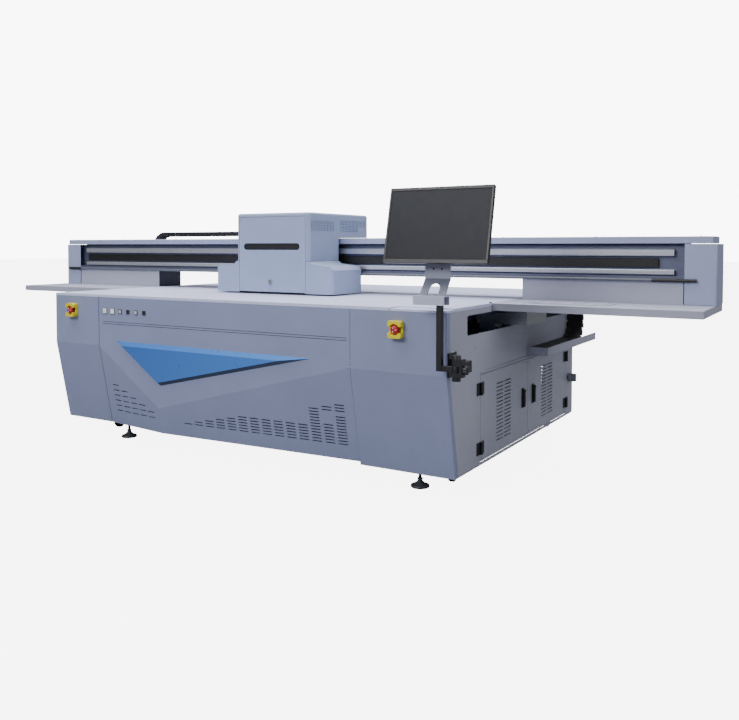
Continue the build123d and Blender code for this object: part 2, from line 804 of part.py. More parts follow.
# ---------------------------------------------------------------- gantry arms
arms = []
for side in (-1, 1):

    def span(a, b):
        """An X range measured outwards from the middle, on this side."""
        return (side * a, side * b) if side > 0 else (side * b, side * a)

    with BuildPart() as arm:
        x0, x1 = span(arm_inner_x, arm_outer_x)
        block(x0, x1, arm_front_y, arm_rear_y, arm_low_z, arm_high_z)
        x0, x1 = span(half_length + 20, arm_outer_x)
        block(x0, x1, arm_front_y, arm_rear_y, arm_high_z, tray_low_z)
    arms.append(arm)
    for y in (arm_front_y, arm_rear_y - 90):
        with BuildPart() as bearing:
            x0, x1 = span(y_rail_x - 32, y_rail_x + 25)
            block(x0, x1, y, y + 90, side_beam_top + 4, arm_low_z)
            x0, x1 = span(y_rail_x - y_rail_width / 2 - slide_gap, y_rail_x + y_rail_width / 2 + slide_gap)
            block(x0, x1, y - 1, y + 91, side_beam_top, side_beam_top + y_rail_height + slide_gap,
                  mode=Mode.SUBTRACT)
        arms.append(bearing)
    with BuildPart() as coil:
        x0, x1 = span(y_rail_x - 72, y_rail_x - 36)
        block(x0, x1, arm_front_y + 20, arm_rear_y - 20, side_beam_top + 15, arm_low_z)
    arms.append(coil)
keep_group("y_bearing_arms", arms)

# ---------------------------------------------------------------- gantry beam and covers
with BuildPart() as beam:
    end = gantry_half_length - 25
    hollow_y1 = gantry_rear_y
    block(-end, end, beam_back_y, gantry_rear_y, beam_low_z, beam_top_z)
    block(-end - 1, end + 1, beam_back_y + beam_wall, gantry_rear_y - beam_wall,
          beam_low_z + beam_wall, beam_top_z - beam_wall, mode=Mode.SUBTRACT)
    block(-end, end, gantry_front_y, beam_back_y, beam_low_z, beam_low_z + beam_lip)
    mid = (beam_low_z + beam_top_z) / 2
    block(-end, end, beam_back_y + beam_wall - 1, gantry_rear_y - beam_wall + 1, mid - 3, mid + 3)
with BuildPart() as chain_tray:
    y0 = gantry_rear_y
    block(-gantry_half_length + 38, x_chain_fixed_x + 20, y0 + 6, x_chain_front_y + x_chain_width + 9,
          x_chain_low_z - 6, x_chain_low_z - 3)
    block(-gantry_half_length + 38, x_chain_fixed_x + 20, x_chain_front_y + x_chain_width + 6,
          x_chain_front_y + x_chain_width + 9, x_chain_low_z - 6, x_chain_low_z + 34)
    block(-recess_half_length + 5, x_chain_fixed_x + 20, y0, y0 + 6, x_chain_low_z - 6,
          x_chain_low_z + 34)
keep_group("gantry_beam", (beam, chain_tray))

covers = []
with BuildPart() as top_cap:
    x1 = gantry_half_length - cap_inset
    y0, y1 = gantry_front_y - 2, gantry_rear_y + 2
    block(-x1, x1, y0, y1, cap_low_z, gantry_top)
    fillet(top_cap.edges().filter_by(Axis.X).group_by(Axis.Z)[-1], 4)
    block(-x1 + sheet, x1 - sheet, y0 + sheet, y1 - sheet, cap_low_z - 1, gantry_top - sheet,
          mode=Mode.SUBTRACT)
    for y in (beam_back_y + 15, gantry_rear_y - 25):
        block(-recess_half_length + 2, recess_half_length - 2, y, y + 10, beam_top_z,
              gantry_top - sheet)
covers.append(top_cap)
for side in (-1, 1):
    with BuildPart() as end_cover:
        inner = side * recess_half_length
        outer = side * gantry_half_length
        x0, x1 = min(inner, outer), max(inner, outer)
        y0, y1 = gantry_front_y - 3, gantry_rear_y + 3
        block(x0, x1, y0, y1, tray_high_z + 1, cap_low_z - 2)
        outer_edges = end_cover.edges().filter_by(Axis.Z).sort_by(lambda e: side * e.center().X)[-2:]
        fillet(outer_edges, 6)
        cut0 = x0 - 1 if side > 0 else x0 + 3
        cut1 = x1 - 3 if side > 0 else x1 + 1
        block(cut0, cut1, y0 + 3, y1 - 3, tray_high_z, cap_low_z - 5, mode=Mode.SUBTRACT)
    covers.append(end_cover)
keep_group("gantry_covers", covers)

wings = []
for side in (-1, 1):
    outer = tray_right_x if side > 0 else tray_left_x
    inner = side * (half_length + tray_gap)
    x0, x1 = min(inner, outer), max(inner, outer)
    with BuildPart() as tray:
        hollow_box(x0, x1, tray_front_y, gantry_rear_y, tray_low_z, tray_high_z, sheet)
    with BuildPart() as riser:
        a, b = side * riser_inner_x, side * (recess_half_length - 4)
        block(min(a, b), max(a, b), gantry_front_y, gantry_rear_y, tray_high_z, beam_low_z)
        block(min(a, b) + 5, max(a, b) - 5, gantry_front_y + 5, gantry_rear_y - 5,
              tray_high_z + 5, beam_low_z - 5, mode=Mode.SUBTRACT)
    wings += [tray, riser]
    with BuildPart() as end_leg:
        a, b = side * (recess_half_length + 10), side * (gantry_half_length - 35)
        block(min(a, b), max(a, b), gantry_front_y + 15, gantry_rear_y - 15, tray_high_z, beam_low_z)
        block(min(a, b) + 5, max(a, b) - 5, gantry_front_y + 20, gantry_rear_y - 20,
              tray_high_z + 5, beam_low_z - 5, mode=Mode.SUBTRACT)
    wings.append(end_leg)
with BuildPart() as cap_tray:
    block(1430, 1840, -330, -140, tray_high_z, tray_high_z + 3)
    for column in range(head_columns):
        x = 1475 + column * 106
        block(x - 24, x + 24, -310, -160, tray_high_z + 3, tray_high_z + 6)
        block(x - 18, x + 18, -304, -166, tray_high_z + 4, tray_high_z + 7, mode=Mode.SUBTRACT)
wings.append(cap_tray)
keep_group("gantry_trays", wings)

rail_front_y = beam_back_y - x_rail_depth
rails = []
rail_half = recess_half_length - 50
for z, height in ((upper_rail_z, upper_rail_height), (lower_rail_z, lower_rail_height)):
    with BuildPart() as x_rail:
        block(-rail_half, rail_half, rail_front_y, beam_back_y, z - height / 2, z + height / 2)
        chamfer(x_rail.edges().filter_by(Axis.X).group_by(Axis.Y)[0], 3)
    rails.append(x_rail)
keep_group("x_rails", rails)

with BuildPart() as x_magnet_track:
    block(-rail_half + 10, rail_half - 75, beam_back_y - magnet_depth, beam_back_y, magnet_low_z,
          magnet_high_z)
    chamfer(x_magnet_track.edges().filter_by(Axis.X).group_by(Axis.Y)[0], 2)
keep("x_magnet_track", x_magnet_track.part)

bar_y = gantry_front_y - crash_bar_radius - 5
with BuildPart() as crash_bar:
    round_bar("X", (bar_y, crash_bar_z), crash_bar_radius, -2190, 2190)
    for x0, x1 in ((-2240, -2110), (1985, 2125)):
        round_bar("X", (bar_y, crash_bar_z), crash_bar_radius + 1, x0, x1)
    for x in (-2100, -1600, 1600, 2090):
        block(x - 12, x + 12, bar_y, gantry_front_y, crash_bar_z - 3, crash_bar_z + 6)
keep("crash_bar", crash_bar.part)

# ---------------------------------------------------------------- energy chains
y_chain_outer_x = y_chain_inner_x + y_chain_width
y_chain_high_z = tray_low_z - 4
y_bend_radius = (y_chain_high_z - y_chain_low_z) / 2
y_bend_z = (y_chain_high_z + y_chain_low_z) / 2
with BuildPart() as chain_trough:
    x1 = half_length + trough_width
    z0 = y_chain_low_z - 4
    block(half_length, x1, trough_front_y, trough_rear_y, z0, z0 + 2)
    block(x1 - 3, x1, trough_front_y, trough_rear_y, z0, z0 + trough_height)
    block(half_length, half_length + 3, trough_front_y, trough_rear_y, z0, z0 + trough_height)
    block(half_length, x1, trough_front_y, trough_front_y + 3, z0, z0 + trough_height)
keep("chain_trough", chain_trough.part)
with BuildPart() as y_chain_lower_run:
    block(y_chain_inner_x, y_chain_outer_x, y_chain_fixed_y, y_chain_bend_y, y_chain_low_z,
          y_chain_low_z + y_chain_height)
    block(y_chain_inner_x, y_chain_outer_x, trough_front_y + 3, y_chain_fixed_y,
          y_chain_low_z - 2, y_chain_low_z + y_chain_height)
keep("y_chain_lower_run", y_chain_lower_run.part)
with BuildPart() as y_chain_upper_run:
    block(y_chain_inner_x, y_chain_outer_x, arm_rear_y, y_chain_bend_y,
          y_chain_high_z - y_chain_height, y_chain_high_z)
keep("y_chain_upper_run", y_chain_upper_run.part)
with BuildPart() as y_chain_bend:
    round_bar("X", (y_chain_bend_y, y_bend_z), y_bend_radius, y_chain_inner_x, y_chain_outer_x)
    round_bar("X", (y_chain_bend_y, y_bend_z), y_bend_radius - y_chain_height, y_chain_inner_x - 1,
              y_chain_outer_x + 1, mode=Mode.SUBTRACT)
    split(bisect_by=Plane.XZ.offset(-y_chain_bend_y), keep=Keep.BOTTOM)
keep("y_chain_bend", y_chain_bend.part)

x_bend_radius = (x_chain_high_z - x_chain_low_z) / 2
x_bend_z = (x_chain_high_z + x_chain_low_z) / 2
x_chain_rear_y = x_chain_front_y + x_chain_width
with BuildPart() as x_chain_bend:
    round_bar("Y", (x_chain_bend_x, x_bend_z), x_bend_radius, x_chain_front_y, x_chain_rear_y)
    round_bar("Y", (x_chain_bend_x, x_bend_z), x_bend_radius - x_chain_height, x_chain_front_y - 1,
              x_chain_rear_y + 1, mode=Mode.SUBTRACT)
    split(bisect_by=Plane.YZ.offset(x_chain_bend_x), keep=Keep.BOTTOM)
keep("x_chain_bend", x_chain_bend.part)
with BuildPart() as x_chain_lower_run:
    block(x_chain_bend_x, x_chain_fixed_x, x_chain_front_y, x_chain_rear_y, x_chain_low_z,
          x_chain_low_z + x_chain_height)
    block(x_chain_fixed_x - 60, x_chain_fixed_x, x_chain_front_y, x_chain_rear_y,
          x_chain_low_z - 3, x_chain_low_z)
keep("x_chain_lower_run", x_chain_lower_run.part)
with BuildPart() as x_chain_upper_run:
    block(x_chain_bend_x, x_chain_end_x, x_chain_front_y, x_chain_rear_y,
          x_chain_high_z - x_chain_height, x_chain_high_z)
keep("x_chain_upper_run", x_chain_upper_run.part)

# ---------------------------------------------------------------- X slider
plate_rear_y = gantry_front_y - 5
plate_front_y = plate_rear_y - 20
slider = []
with BuildPart() as slider_back:
    block(-330, 165, plate_front_y, plate_rear_y, crash_bar_z + crash_bar_radius + 9, 1196)
    block(-330, 165, plate_rear_y, gantry_rear_y + 5, 1190, 1196)
    block(x_chain_end_x, -280, gantry_rear_y + 5, x_chain_rear_y + 1, 1190, 1196)
    block(x_chain_end_x, x_chain_end_x + 5, x_chain_front_y, x_chain_rear_y, 1196, x_chain_high_z)
slider.append(slider_back)
for x in (-300, 45):
    for z, height in ((upper_rail_z, upper_rail_height), (lower_rail_z, lower_rail_height)):
        with BuildPart() as bearing:
            low = max(z - height / 2 - 8, beam_low_z + beam_lip + 2)
            block(x, x + 90, plate_rear_y, beam_back_y - 6, low, z + height / 2 + 8)
            block(x - 1, x + 91, rail_front_y - slide_gap, beam_back_y, z - height / 2 - slide_gap,
                  z + height / 2 + slide_gap, mode=Mode.SUBTRACT)
        slider.append(bearing)
z_rail_x = (-240, 75)
for x in z_rail_x:
    with BuildPart() as z_rail:
        block(x - 10, x + 10, plate_front_y - 14, plate_front_y, 1000, 1185)
    slider.append(z_rail)
with BuildPart() as motor_coil:
    block(-190, 25, plate_rear_y, beam_back_y - magnet_depth - 1, magnet_low_z + 2, magnet_high_z - 2)
slider.append(motor_coil)
keep_group("slider_plate", slider)

# ---------------------------------------------------------------- carriage
frame_rear_y = plate_front_y - 18
frame_front_y = frame_rear_y - 12
head_low_z = head_plate_z + 8
pitch_start = carriage_left + 92
head_rows_y = (-330.0, -225.0)
with BuildPart() as carriage_frame:
    block(-320, 155, frame_front_y, frame_rear_y, head_plate_z, 1170)
    block(-490, 326, -372, frame_front_y, head_plate_z, head_low_z)
    for side_x in (-490, 320):
        block(side_x, side_x + 6, -372, frame_front_y, head_plate_z, head_low_z + 60)
    for y in (-360, -140):
        block(wing_left + sheet, -490, y, y + 20, head_low_z + 20, head_low_z + 60)
        block(326, wing_right - sheet, y, y + 20, head_low_z + 20, head_low_z + 60)
    block(carriage_left + sheet, carriage_right - sheet, frame_front_y, frame_rear_y, 1110, 1150)
    for x in z_rail_x:
        block(x - 26, x + 26, frame_rear_y, plate_front_y - 3, 1040, 1100)
        block(x - 10 - slide_gap, x + 10 + slide_gap, plate_front_y - 14 - slide_gap, plate_front_y,
              1039, 1101, mode=Mode.SUBTRACT)
    for column in range(head_columns):
        for y in head_rows_y:
            x = -230 + column * head_pitch * 1.3
            block(x - 20.5, x + 20.5, y - 40.5, y + 40.5, head_plate_z - 1, head_low_z + 1,
                  mode=Mode.SUBTRACT)
keep("carriage_frame", carriage_frame.part)

heads = []
for column in range(head_columns):
    for y in head_rows_y:
        x = -230 + column * head_pitch * 1.3
        with BuildPart() as print_head:
            block(x - 20, x + 20, y - 40, y + 40, carriage_low_z + 3, head_low_z)
            block(x - 26, x + 26, y - 46, y + 46, head_low_z, head_low_z + 66)
            block(x - 12, x + 12, y - 30, y + 30, head_low_z + 66, head_low_z + 96)
        heads.append(print_head)
keep_group("print_heads", heads)

lamps = []
for x0, x1 in ((-480, -372), (208, 316)):
    with BuildPart() as uv_lamp:
        block(x0, x1, -340, -140, head_low_z, head_low_z + 105)
        for fin in range(5):
            y = -322 + fin * 40
            block(x0 + 8, x1 - 8, y, y + 22, head_low_z + 93, head_low_z + 106, mode=Mode.SUBTRACT)
    lamps.append(uv_lamp)
keep_group("uv_lamps", lamps)

cover_gap = 2.0
bevel_inside = (2 - 2 ** 0.5) * sheet
with BuildPart() as cover_core:
    block(carriage_left + sheet, carriage_right - sheet, carriage_front_y + sheet,
          carriage_step_y - sheet, cover_seat_z - 1, carriage_top - 20)
    chamfer(cover_core.edges().filter_by(Axis.Z).group_by(Axis.Y)[0], cover_bevel - bevel_inside)
with BuildPart() as upper_cover:
    with BuildSketch(Plane.YZ.offset(carriage_left)):
        with BuildLine():
            Polyline(
                (carriage_front_y, cover_seat_z + cover_gap),
                (carriage_front_y, carriage_top),
                (carriage_rear_y, carriage_top),
                (carriage_rear_y, gantry_top + 4),
                (carriage_step_y, gantry_top + 4),
                (carriage_step_y, cover_seat_z + cover_gap),
                close=True,
            )
        make_face()
    extrude(amount=carriage_right - carriage_left)
    chamfer(upper_cover.edges().filter_by(Axis.Z).group_by(Axis.Y)[0], cover_bevel)
    fillet(upper_cover.faces().sort_by(Axis.Z)[-1].edges(), 14)
    add(cover_core.part, mode=Mode.SUBTRACT)
    block(carriage_left + sheet, carriage_right - sheet, carriage_step_y - sheet - 1,
          carriage_rear_y - sheet, gantry_top, carriage_top - 20, mode=Mode.SUBTRACT)
    block(carriage_left + 20, carriage_right - 20, carriage_front_y + 20,
          carriage_rear_y - 20, carriage_top - 21, carriage_top - sheet, mode=Mode.SUBTRACT)
    block(carriage_left + sheet, carriage_right - sheet, carriage_step_y - sheet - 1,
          carriage_step_y + 1, cover_seat_z - 1, gantry_top + 5, mode=Mode.SUBTRACT)
    block(hatch_left - cover_gap, hatch_right + cover_gap, carriage_front_y - 1,
          carriage_front_y + sheet + 1, cover_seat_z - 1, hatch_top + cover_gap, mode=Mode.SUBTRACT)
    block(carriage_left - 1, carriage_left + sheet + 1, x_chain_front_y - 12, x_chain_rear_y + 6,
          gantry_top, x_chain_high_z + 8, mode=Mode.SUBTRACT)
    with BuildSketch(Plane.YZ.offset(carriage_left - 1)):
        for y0, y1, z0, z1 in side_vent_areas:
            for column in range(int((y1 - y0) // side_vent_pitch[0])):
                for row in range(int((z1 - z0) // side_vent_pitch[1])):
                    y = y0 + (column + 0.5) * side_vent_pitch[0]
                    z = z0 + (row + 0.5) * side_vent_pitch[1]
                    if y > x_chain_front_y - 24 and z < x_chain_high_z + 16:
                        continue
                    with Locations((y, z)):
                        RegularPolygon(4.3, 6)
    extrude(amount=carriage_right - carriage_left + 2, mode=Mode.SUBTRACT)
keep("carriage_upper_cover", upper_cover.part)


def wing_outline(inset, low):
    """Corners of the lower cover's outline in the XZ plane, drawn inset from its outer face."""
    return (
        (wing_left + inset, low),
        (wing_left + inset, wing_top_z - 22),
        (wing_left + 20, wing_top_z - inset),
        (carriage_left - 26, wing_top_z + 3 - inset),
        (carriage_left + inset, cover_seat_z - inset),
        (carriage_right - inset, cover_seat_z - inset),
        (carriage_right + 26, wing_top_z + 12 - inset),
        (wing_right - 20, wing_top_z - inset),
        (wing_right - inset, wing_top_z - 22),
        (wing_right - inset, low),
    )


cover_back = carriage_step_y - 1
with BuildPart() as wing_core:
    with BuildSketch(Plane.XZ.offset(-cover_back - 1)):
        with BuildLine():
            Polyline(*wing_outline(sheet, carriage_low_z - 1), close=True)
        make_face()
    extrude(amount=cover_back + 1 - carriage_front_y - sheet)
    chamfer(wing_core.edges().filter_by(Axis.Z).group_by(Axis.Y)[0], wing_bevel - bevel_inside)
with BuildPart() as lower_cover:
    with BuildSketch(Plane.XZ.offset(-cover_back)):
        with BuildLine():
            Polyline(*wing_outline(0, carriage_low_z), close=True)
        make_face()
    extrude(amount=cover_back - carriage_front_y)
    chamfer(lower_cover.edges().filter_by(Axis.Z).group_by(Axis.Y)[0], wing_bevel)
    add(wing_core.part, mode=Mode.SUBTRACT)
    for y0, y1 in ((carriage_front_y + sheet, -170), (-125, carriage_step_y + 3)):
        block(carriage_left + sheet, carriage_right - sheet, y0, y1, cover_seat_z - 10,
              cover_seat_z + 2, mode=Mode.SUBTRACT)
    block(hatch_left - cover_gap, hatch_right + cover_gap, carriage_front_y - 1,
          carriage_front_y + sheet + 1, carriage_low_z - 1, cover_seat_z + 1, mode=Mode.SUBTRACT)
    block(wing_right - 1, wing_right + 1, carriage_front_y + 12, carriage_step_y + 2, 949, 951.5,
          mode=Mode.SUBTRACT)
keep("carriage_lower_cover", lower_cover.part)

with BuildPart() as hatch_panel:
    block(hatch_left, hatch_right, carriage_front_y, carriage_front_y + sheet,
          carriage_low_z + 5, hatch_top)
    with BuildSketch(Plane.XZ.offset(-carriage_front_y - sheet - 1)):
        with Locations(((window_left + window_right) / 2, (window_low_z + window_high_z) / 2)):
            SlotOverall(window_right - window_left, window_high_z - window_low_z)
    extrude(amount=sheet + 2, mode=Mode.SUBTRACT)
with BuildPart() as hatch_window:
    block(window_left - 12, window_right + 12, carriage_front_y + sheet,
          carriage_front_y + sheet + 3, window_low_z - 10, window_high_z + 10)
with BuildPart() as hatch_lock:
    round_bar("Y", (lock_x, lock_z), 15, carriage_front_y - 6, carriage_front_y)
    block(lock_x - 5, lock_x + 5, carriage_front_y - 16, carriage_front_y - 6, lock_z - 13,
          lock_z + 13)
keep_group("service_hatch", (hatch_panel, hatch_window, hatch_lock))

# ---------------------------------------------------------------- operator screen and its arm
hub_radius = swivel_pin_radius + 9
web_x = swivel_x + hub_radius + 1
clamp_link_y = front + 18
elbow_mid_z = elbow_low_z + post_size / 2
with BuildPart() as clamp_bracket:
    block(half_length, half_length + 7, front + 8, front + 90, 560, 668)
    block(half_length + 7, web_x + 14, clamp_link_y, clamp_link_y + 18, 592, 642)
    block(web_x, web_x + 14, post_y_centre - hub_radius, clamp_link_y + 18, 592, 642)
    for low, high in ((560, elbow_low_z - 0.5), (elbow_low_z + post_size + 0.5, 672)):
        round_bar("Z", (swivel_x, post_y_centre), hub_radius, low, high)
        block(swivel_x, web_x + 14, post_y_centre - hub_radius, post_y_centre + hub_radius,
              max(low, 578), min(high, 656))
    round_bar("Z", (swivel_x, post_y_centre), swivel_pin_radius, 560, 672)
    round_bar("X", (post_y_centre, elbow_mid_z), 5 + running_gap, web_x - 2, web_x + 15,
              mode=Mode.SUBTRACT)
keep("clamp_bracket", clamp_bracket.part)

with BuildPart() as clamp_knob:
    round_bar("X", (post_y_centre, elbow_mid_z), 5, swivel_x + hub_radius + 0.4, web_x + 16)
    round_bar("X", (post_y_centre, elbow_mid_z), 19, web_x + 14.5, web_x + 34)
    for turn in range(6):
        angle = radians(60 * turn)
        y = post_y_centre + 21 * cos(angle)
        z = elbow_mid_z + 21 * sin(angle)
        round_bar("X", (y, z), 6, web_x + 14, web_x + 35, mode=Mode.SUBTRACT)
keep("clamp_knob", clamp_knob.part)

post_top = 920.0
half_post = post_size / 2
with BuildPart() as post_arm:
    block(post_x_centre - half_post, post_x_centre + half_post, post_y_centre - half_post,
          post_y_centre + half_post, elbow_low_z, post_top)
    block(post_x_centre - half_post + 3, post_x_centre + half_post - 3,
          post_y_centre - half_post + 3, post_y_centre + half_post - 3, elbow_low_z + post_size,
          post_top + 1, mode=Mode.SUBTRACT)
    block(post_x_centre, swivel_x, post_y_centre - half_post + 3, post_y_centre + half_post - 3,
          elbow_low_z, elbow_low_z + post_size)
    round_bar("Z", (swivel_x, post_y_centre), hub_radius - 0.5, elbow_low_z,
              elbow_low_z + post_size)
    round_bar("Z", (swivel_x, post_y_centre), swivel_pin_radius + running_gap, elbow_low_z - 1,
              elbow_low_z + post_size + 1, mode=Mode.SUBTRACT)
keep("post_arm", post_arm.part)

cap_low = 884.0
leg_foot_y = post_y_centre
plate_y = -919.0
bend_z = 997.0
knuckle_half = 40.0
stand_mid_x = (stand_left_x + stand_right_x) / 2
with BuildPart() as monitor_stand:
    block(stand_left_x - 18, stand_right_x + 8, post_y_centre - 27, post_y_centre + 27,
          post_top, post_top + stand_sheet)
    for y in (post_y_centre - 27, post_y_centre + 27 - stand_sheet):
        block(stand_left_x - 18, stand_right_x + 8, y, y + stand_sheet, cap_low, post_top + 1)
    with BuildSketch(Plane.YZ.offset(stand_left_x)):
        with BuildLine():
            Polyline(
                (leg_foot_y, post_top + stand_sheet),
                (plate_y, bend_z),
                (plate_y, tilt_axis_z),
                (plate_y + stand_sheet, tilt_axis_z),
                (plate_y + stand_sheet, bend_z - 2),
                (leg_foot_y + 7, post_top + stand_sheet),
                close=True,
            )
        make_face()
    extrude(amount=stand_right_x - stand_left_x)
    arch_low = post_top + stand_sheet + 2
    block(stand_mid_x - arch_half, stand_mid_x + arch_half, leg_foot_y - 20, leg_foot_y + 100,
          arch_low, arch_centre_z, mode=Mode.SUBTRACT)
    round_bar("Y", (stand_mid_x, arch_centre_z), arch_half, leg_foot_y - 20, leg_foot_y + 100,
              mode=Mode.SUBTRACT)
    block(stand_left_x - 1, stand_mid_x - knuckle_half, plate_y - 1, plate_y + 10,
          tilt_axis_z - 26, tilt_axis_z + 1, mode=Mode.SUBTRACT)
    block(stand_mid_x + knuckle_half, stand_right_x + 1, plate_y - 1, plate_y + 10,
          tilt_axis_z - 26, tilt_axis_z + 1, mode=Mode.SUBTRACT)
    round_bar("X", (tilt_axis_y, tilt_axis_z), 7, stand_mid_x - knuckle_half,
              stand_mid_x + knuckle_half)
    round_bar("X", (tilt_axis_y, tilt_axis_z), 3, stand_mid_x - knuckle_half - 18,
              stand_mid_x + knuckle_half + 18)
keep("monitor_stand", monitor_stand.part)

lean_axis = Axis((0, screen_front_y, screen_low_z), (1, 0, 0))
upright = Plane(origin=(0, screen_front_y, screen_low_z), x_dir=(1, 0, 0),
                z_dir=(0, sin(radians(screen_lean)), cos(radians(screen_lean))))


def leaning_block(x0, x1, depth0, depth1, up0, up1, mode=Mode.ADD):
    """A block in the screen's own leaning frame: depth is behind its face, up is along it."""
    centre = Location(((x0 + x1) / 2, (depth0 + depth1) / 2, (up0 + up1) / 2))
    with Locations(upright.location * centre):
        Box(x1 - x0, depth1 - depth0, up1 - up0, mode=mode)


screen_right_x = screen_left_x + screen_width
with BuildPart() as screen_shell:
    leaning_block(screen_left_x, screen_right_x, 0, 22, 0, screen_height)
    leaning_block(screen_left_x + 8, screen_right_x - 8, -1, 2.5, 8, screen_height - 8,
                  mode=Mode.SUBTRACT)
    leaning_block(screen_left_x + 50, screen_right_x - 50, 21, screen_depth, 35,
                  screen_height - 60)
    for side in (-1, 1):
        near = stand_mid_x + side * (knuckle_half + 0.5)
        far = stand_mid_x + side * (knuckle_half + 14)
        x0, x1 = min(near, far), max(near, far)
        round_bar("X", (tilt_axis_y, tilt_axis_z), 7, x0, x1)
        leaning_block(x0, x1, screen_depth - 3, screen_depth + 10, 47, 61)
        round_bar("X", (tilt_axis_y, tilt_axis_z), 3 + running_gap, x0 - 1, x1 + 1,
                  mode=Mode.SUBTRACT)
with BuildPart() as screen_glass:
    leaning_block(screen_left_x + 8.5, screen_right_x - 8.5, 0.8, 2.4, 8.5, screen_height - 8.5)
keep_group("monitor", (screen_shell, screen_glass))
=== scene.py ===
import math

import bmesh
import bpy
from mathutils import Matrix, Vector


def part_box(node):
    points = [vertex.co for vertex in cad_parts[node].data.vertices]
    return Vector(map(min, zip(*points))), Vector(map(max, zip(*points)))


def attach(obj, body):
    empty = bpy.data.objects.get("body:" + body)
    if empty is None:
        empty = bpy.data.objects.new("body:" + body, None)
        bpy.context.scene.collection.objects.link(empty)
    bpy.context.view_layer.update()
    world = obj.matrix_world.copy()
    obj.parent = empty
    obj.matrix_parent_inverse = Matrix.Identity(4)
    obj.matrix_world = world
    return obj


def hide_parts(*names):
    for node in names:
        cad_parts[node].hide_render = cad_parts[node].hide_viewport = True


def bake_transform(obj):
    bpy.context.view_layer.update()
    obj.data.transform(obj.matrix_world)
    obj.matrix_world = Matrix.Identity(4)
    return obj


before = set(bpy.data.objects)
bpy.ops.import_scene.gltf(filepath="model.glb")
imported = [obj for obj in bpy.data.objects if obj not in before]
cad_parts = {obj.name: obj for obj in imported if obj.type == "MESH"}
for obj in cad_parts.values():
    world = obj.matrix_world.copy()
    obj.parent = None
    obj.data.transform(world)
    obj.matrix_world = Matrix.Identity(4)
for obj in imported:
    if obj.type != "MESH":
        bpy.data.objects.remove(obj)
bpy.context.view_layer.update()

# Places and sizes in metres, in the frame of the machine
HALF_LENGTH = 1.3
FRONT = -0.925
BED_TOP = 0.860
SCREEN_LEAN = math.radians(12.7)
SCREEN_FOOT = Vector((0.0, -0.985, 1.066))
SCREEN_LEFT, SCREEN_RIGHT = 1.010, 1.515
SCREEN_HEIGHT = 0.345
ESTOP_LEFT, ESTOP_RIGHT, ESTOP_Z = -1.138, 1.053, 0.763
TRIM_LEFT, TRIM_RIGHT, TRIM_LOW = (-0.772, 0.599), (0.581, 0.595), (-0.432, 0.372)
TRIM_THICKNESS = 0.014
TRIM_TOP_SLOPE, TRIM_LOW_SLOPE, TRIM_LEFT_SLOPE = 0.024, 0.019, 0.006
BUTTON_START, BUTTON_PITCH, BUTTON_Z = -0.872, 0.063, 0.767
BUTTON_HALF, LAMP_HALF, LENS_HALF, BEZEL = 0.0152, 0.0112, 0.0085, 0.003
BUTTON_COUNT, CONTROL_COUNT = 2, 6
GROOVE_HEIGHTS, GROOVE_HALF = (0.694, 0.706), 0.0014
GROOVE_LEFT, GROOVE_RIGHT = -0.8915, 0.7795
CARRIAGE_FRONT = -0.385
SHOULDER_LEFT, SHOULDER_RIGHT = -0.506, 0.342
COVER_LEFT, COVER_RIGHT = -0.347, 0.183

# Energy chains: left and right, or front and rear, are the sides, and fixed, bend and moving are
# places along the chain
Y_CHAIN = {"sides": (1.310, 1.410), "low": 0.552, "high": 0.819, "fixed": 0.083,
           "bend": 0.662, "moving": 0.055, "link": 0.035, "pitch": 0.046}
X_CHAIN = {"sides": (0.168, 0.243), "low": 1.006, "high": 1.240, "fixed": 0.040,
           "bend": -1.500, "moving": -0.352, "link": 0.032, "pitch": 0.041}

# Doors: the edges, the hinge axis and the way from it to the handle, all along Y
DOORS = {
    "front": {"edges": (-0.548, 0.1035), "hinge": -0.552, "way": 1, "handle": 0.025,
              "louvres": (-0.298, -0.192)},
    "rear": {"edges": (0.1065, 0.775), "hinge": 0.779, "way": -1, "handle": 0.185,
             "louvres": (0.379, 0.485)},
}
DOOR_SCREW_HEIGHTS, HINGE_HEIGHTS, HINGE_SCREW_RISES = (0.118, 0.505), (0.140, 0.427), (0.012, 0.048)
HANDLE_HEIGHT, HANDLE_FACE = 0.358, 0.018
LOUVRE_ROWS, LOUVRE_LOW, LOUVRE_PITCH, LOUVRE_HALF = 16, 0.165, 0.019, 0.0455
LOUVRE_TILT = math.radians(-32)
BOTTLE_COUNT, BOTTLE_START, BOTTLE_PITCH, BOTTLE_Y, BOTTLE_FLOOR = 6, 0.560, 0.096, -0.5, 0.085
RAIL_BOLT_COUNT, RAIL_BOLT_END, RAIL_BOLT_HEIGHTS, RAIL_FACE = 66, 2.05, (1.109, 1.013), -0.043

# Screw head radii
PANEL_SCREW, TRAY_SCREW, HINGE_SCREW, CARRIAGE_SCREW, STAND_SCREW = 0.0055, 0.005, 0.004, 0.0042, 0.0048

# Brightness of the surroundings: as light, as seen, and the floor's own glow
AMBIENT, BACKDROP, FLOOR_GLOW = 0.28, 9.0, 6.5


# ------------------------------------------------------------------ finishes
def srgb(red, green, blue):
    """A colour given as 0-255 sRGB, as the linear value that a shader takes."""
    linear = []
    for value in (red, green, blue):
        share = value / 255
        linear.append(share / 12.92 if share <= 0.04045 else ((share + 0.055) / 1.055) ** 2.4)
    return (*linear, 1.0)


def new_finish(name):
    """An empty material with its shader and an Object coordinate node."""
    finish = bpy.data.materials.new(name)
    finish.use_nodes = True
    nodes = finish.node_tree.nodes
    shader = nodes["Principled BSDF"]
    place = nodes.new("ShaderNodeTexCoord")
    return finish, finish.node_tree, shader, place


def stretched(tree, place, scale):
    """Object coordinates scaled differently along each axis."""
    mapping = tree.nodes.new("ShaderNodeMapping")
    mapping.inputs["Scale"].default_value = scale
    tree.links.new(place.outputs["Object"], mapping.inputs["Vector"])
    return mapping.outputs["Vector"]


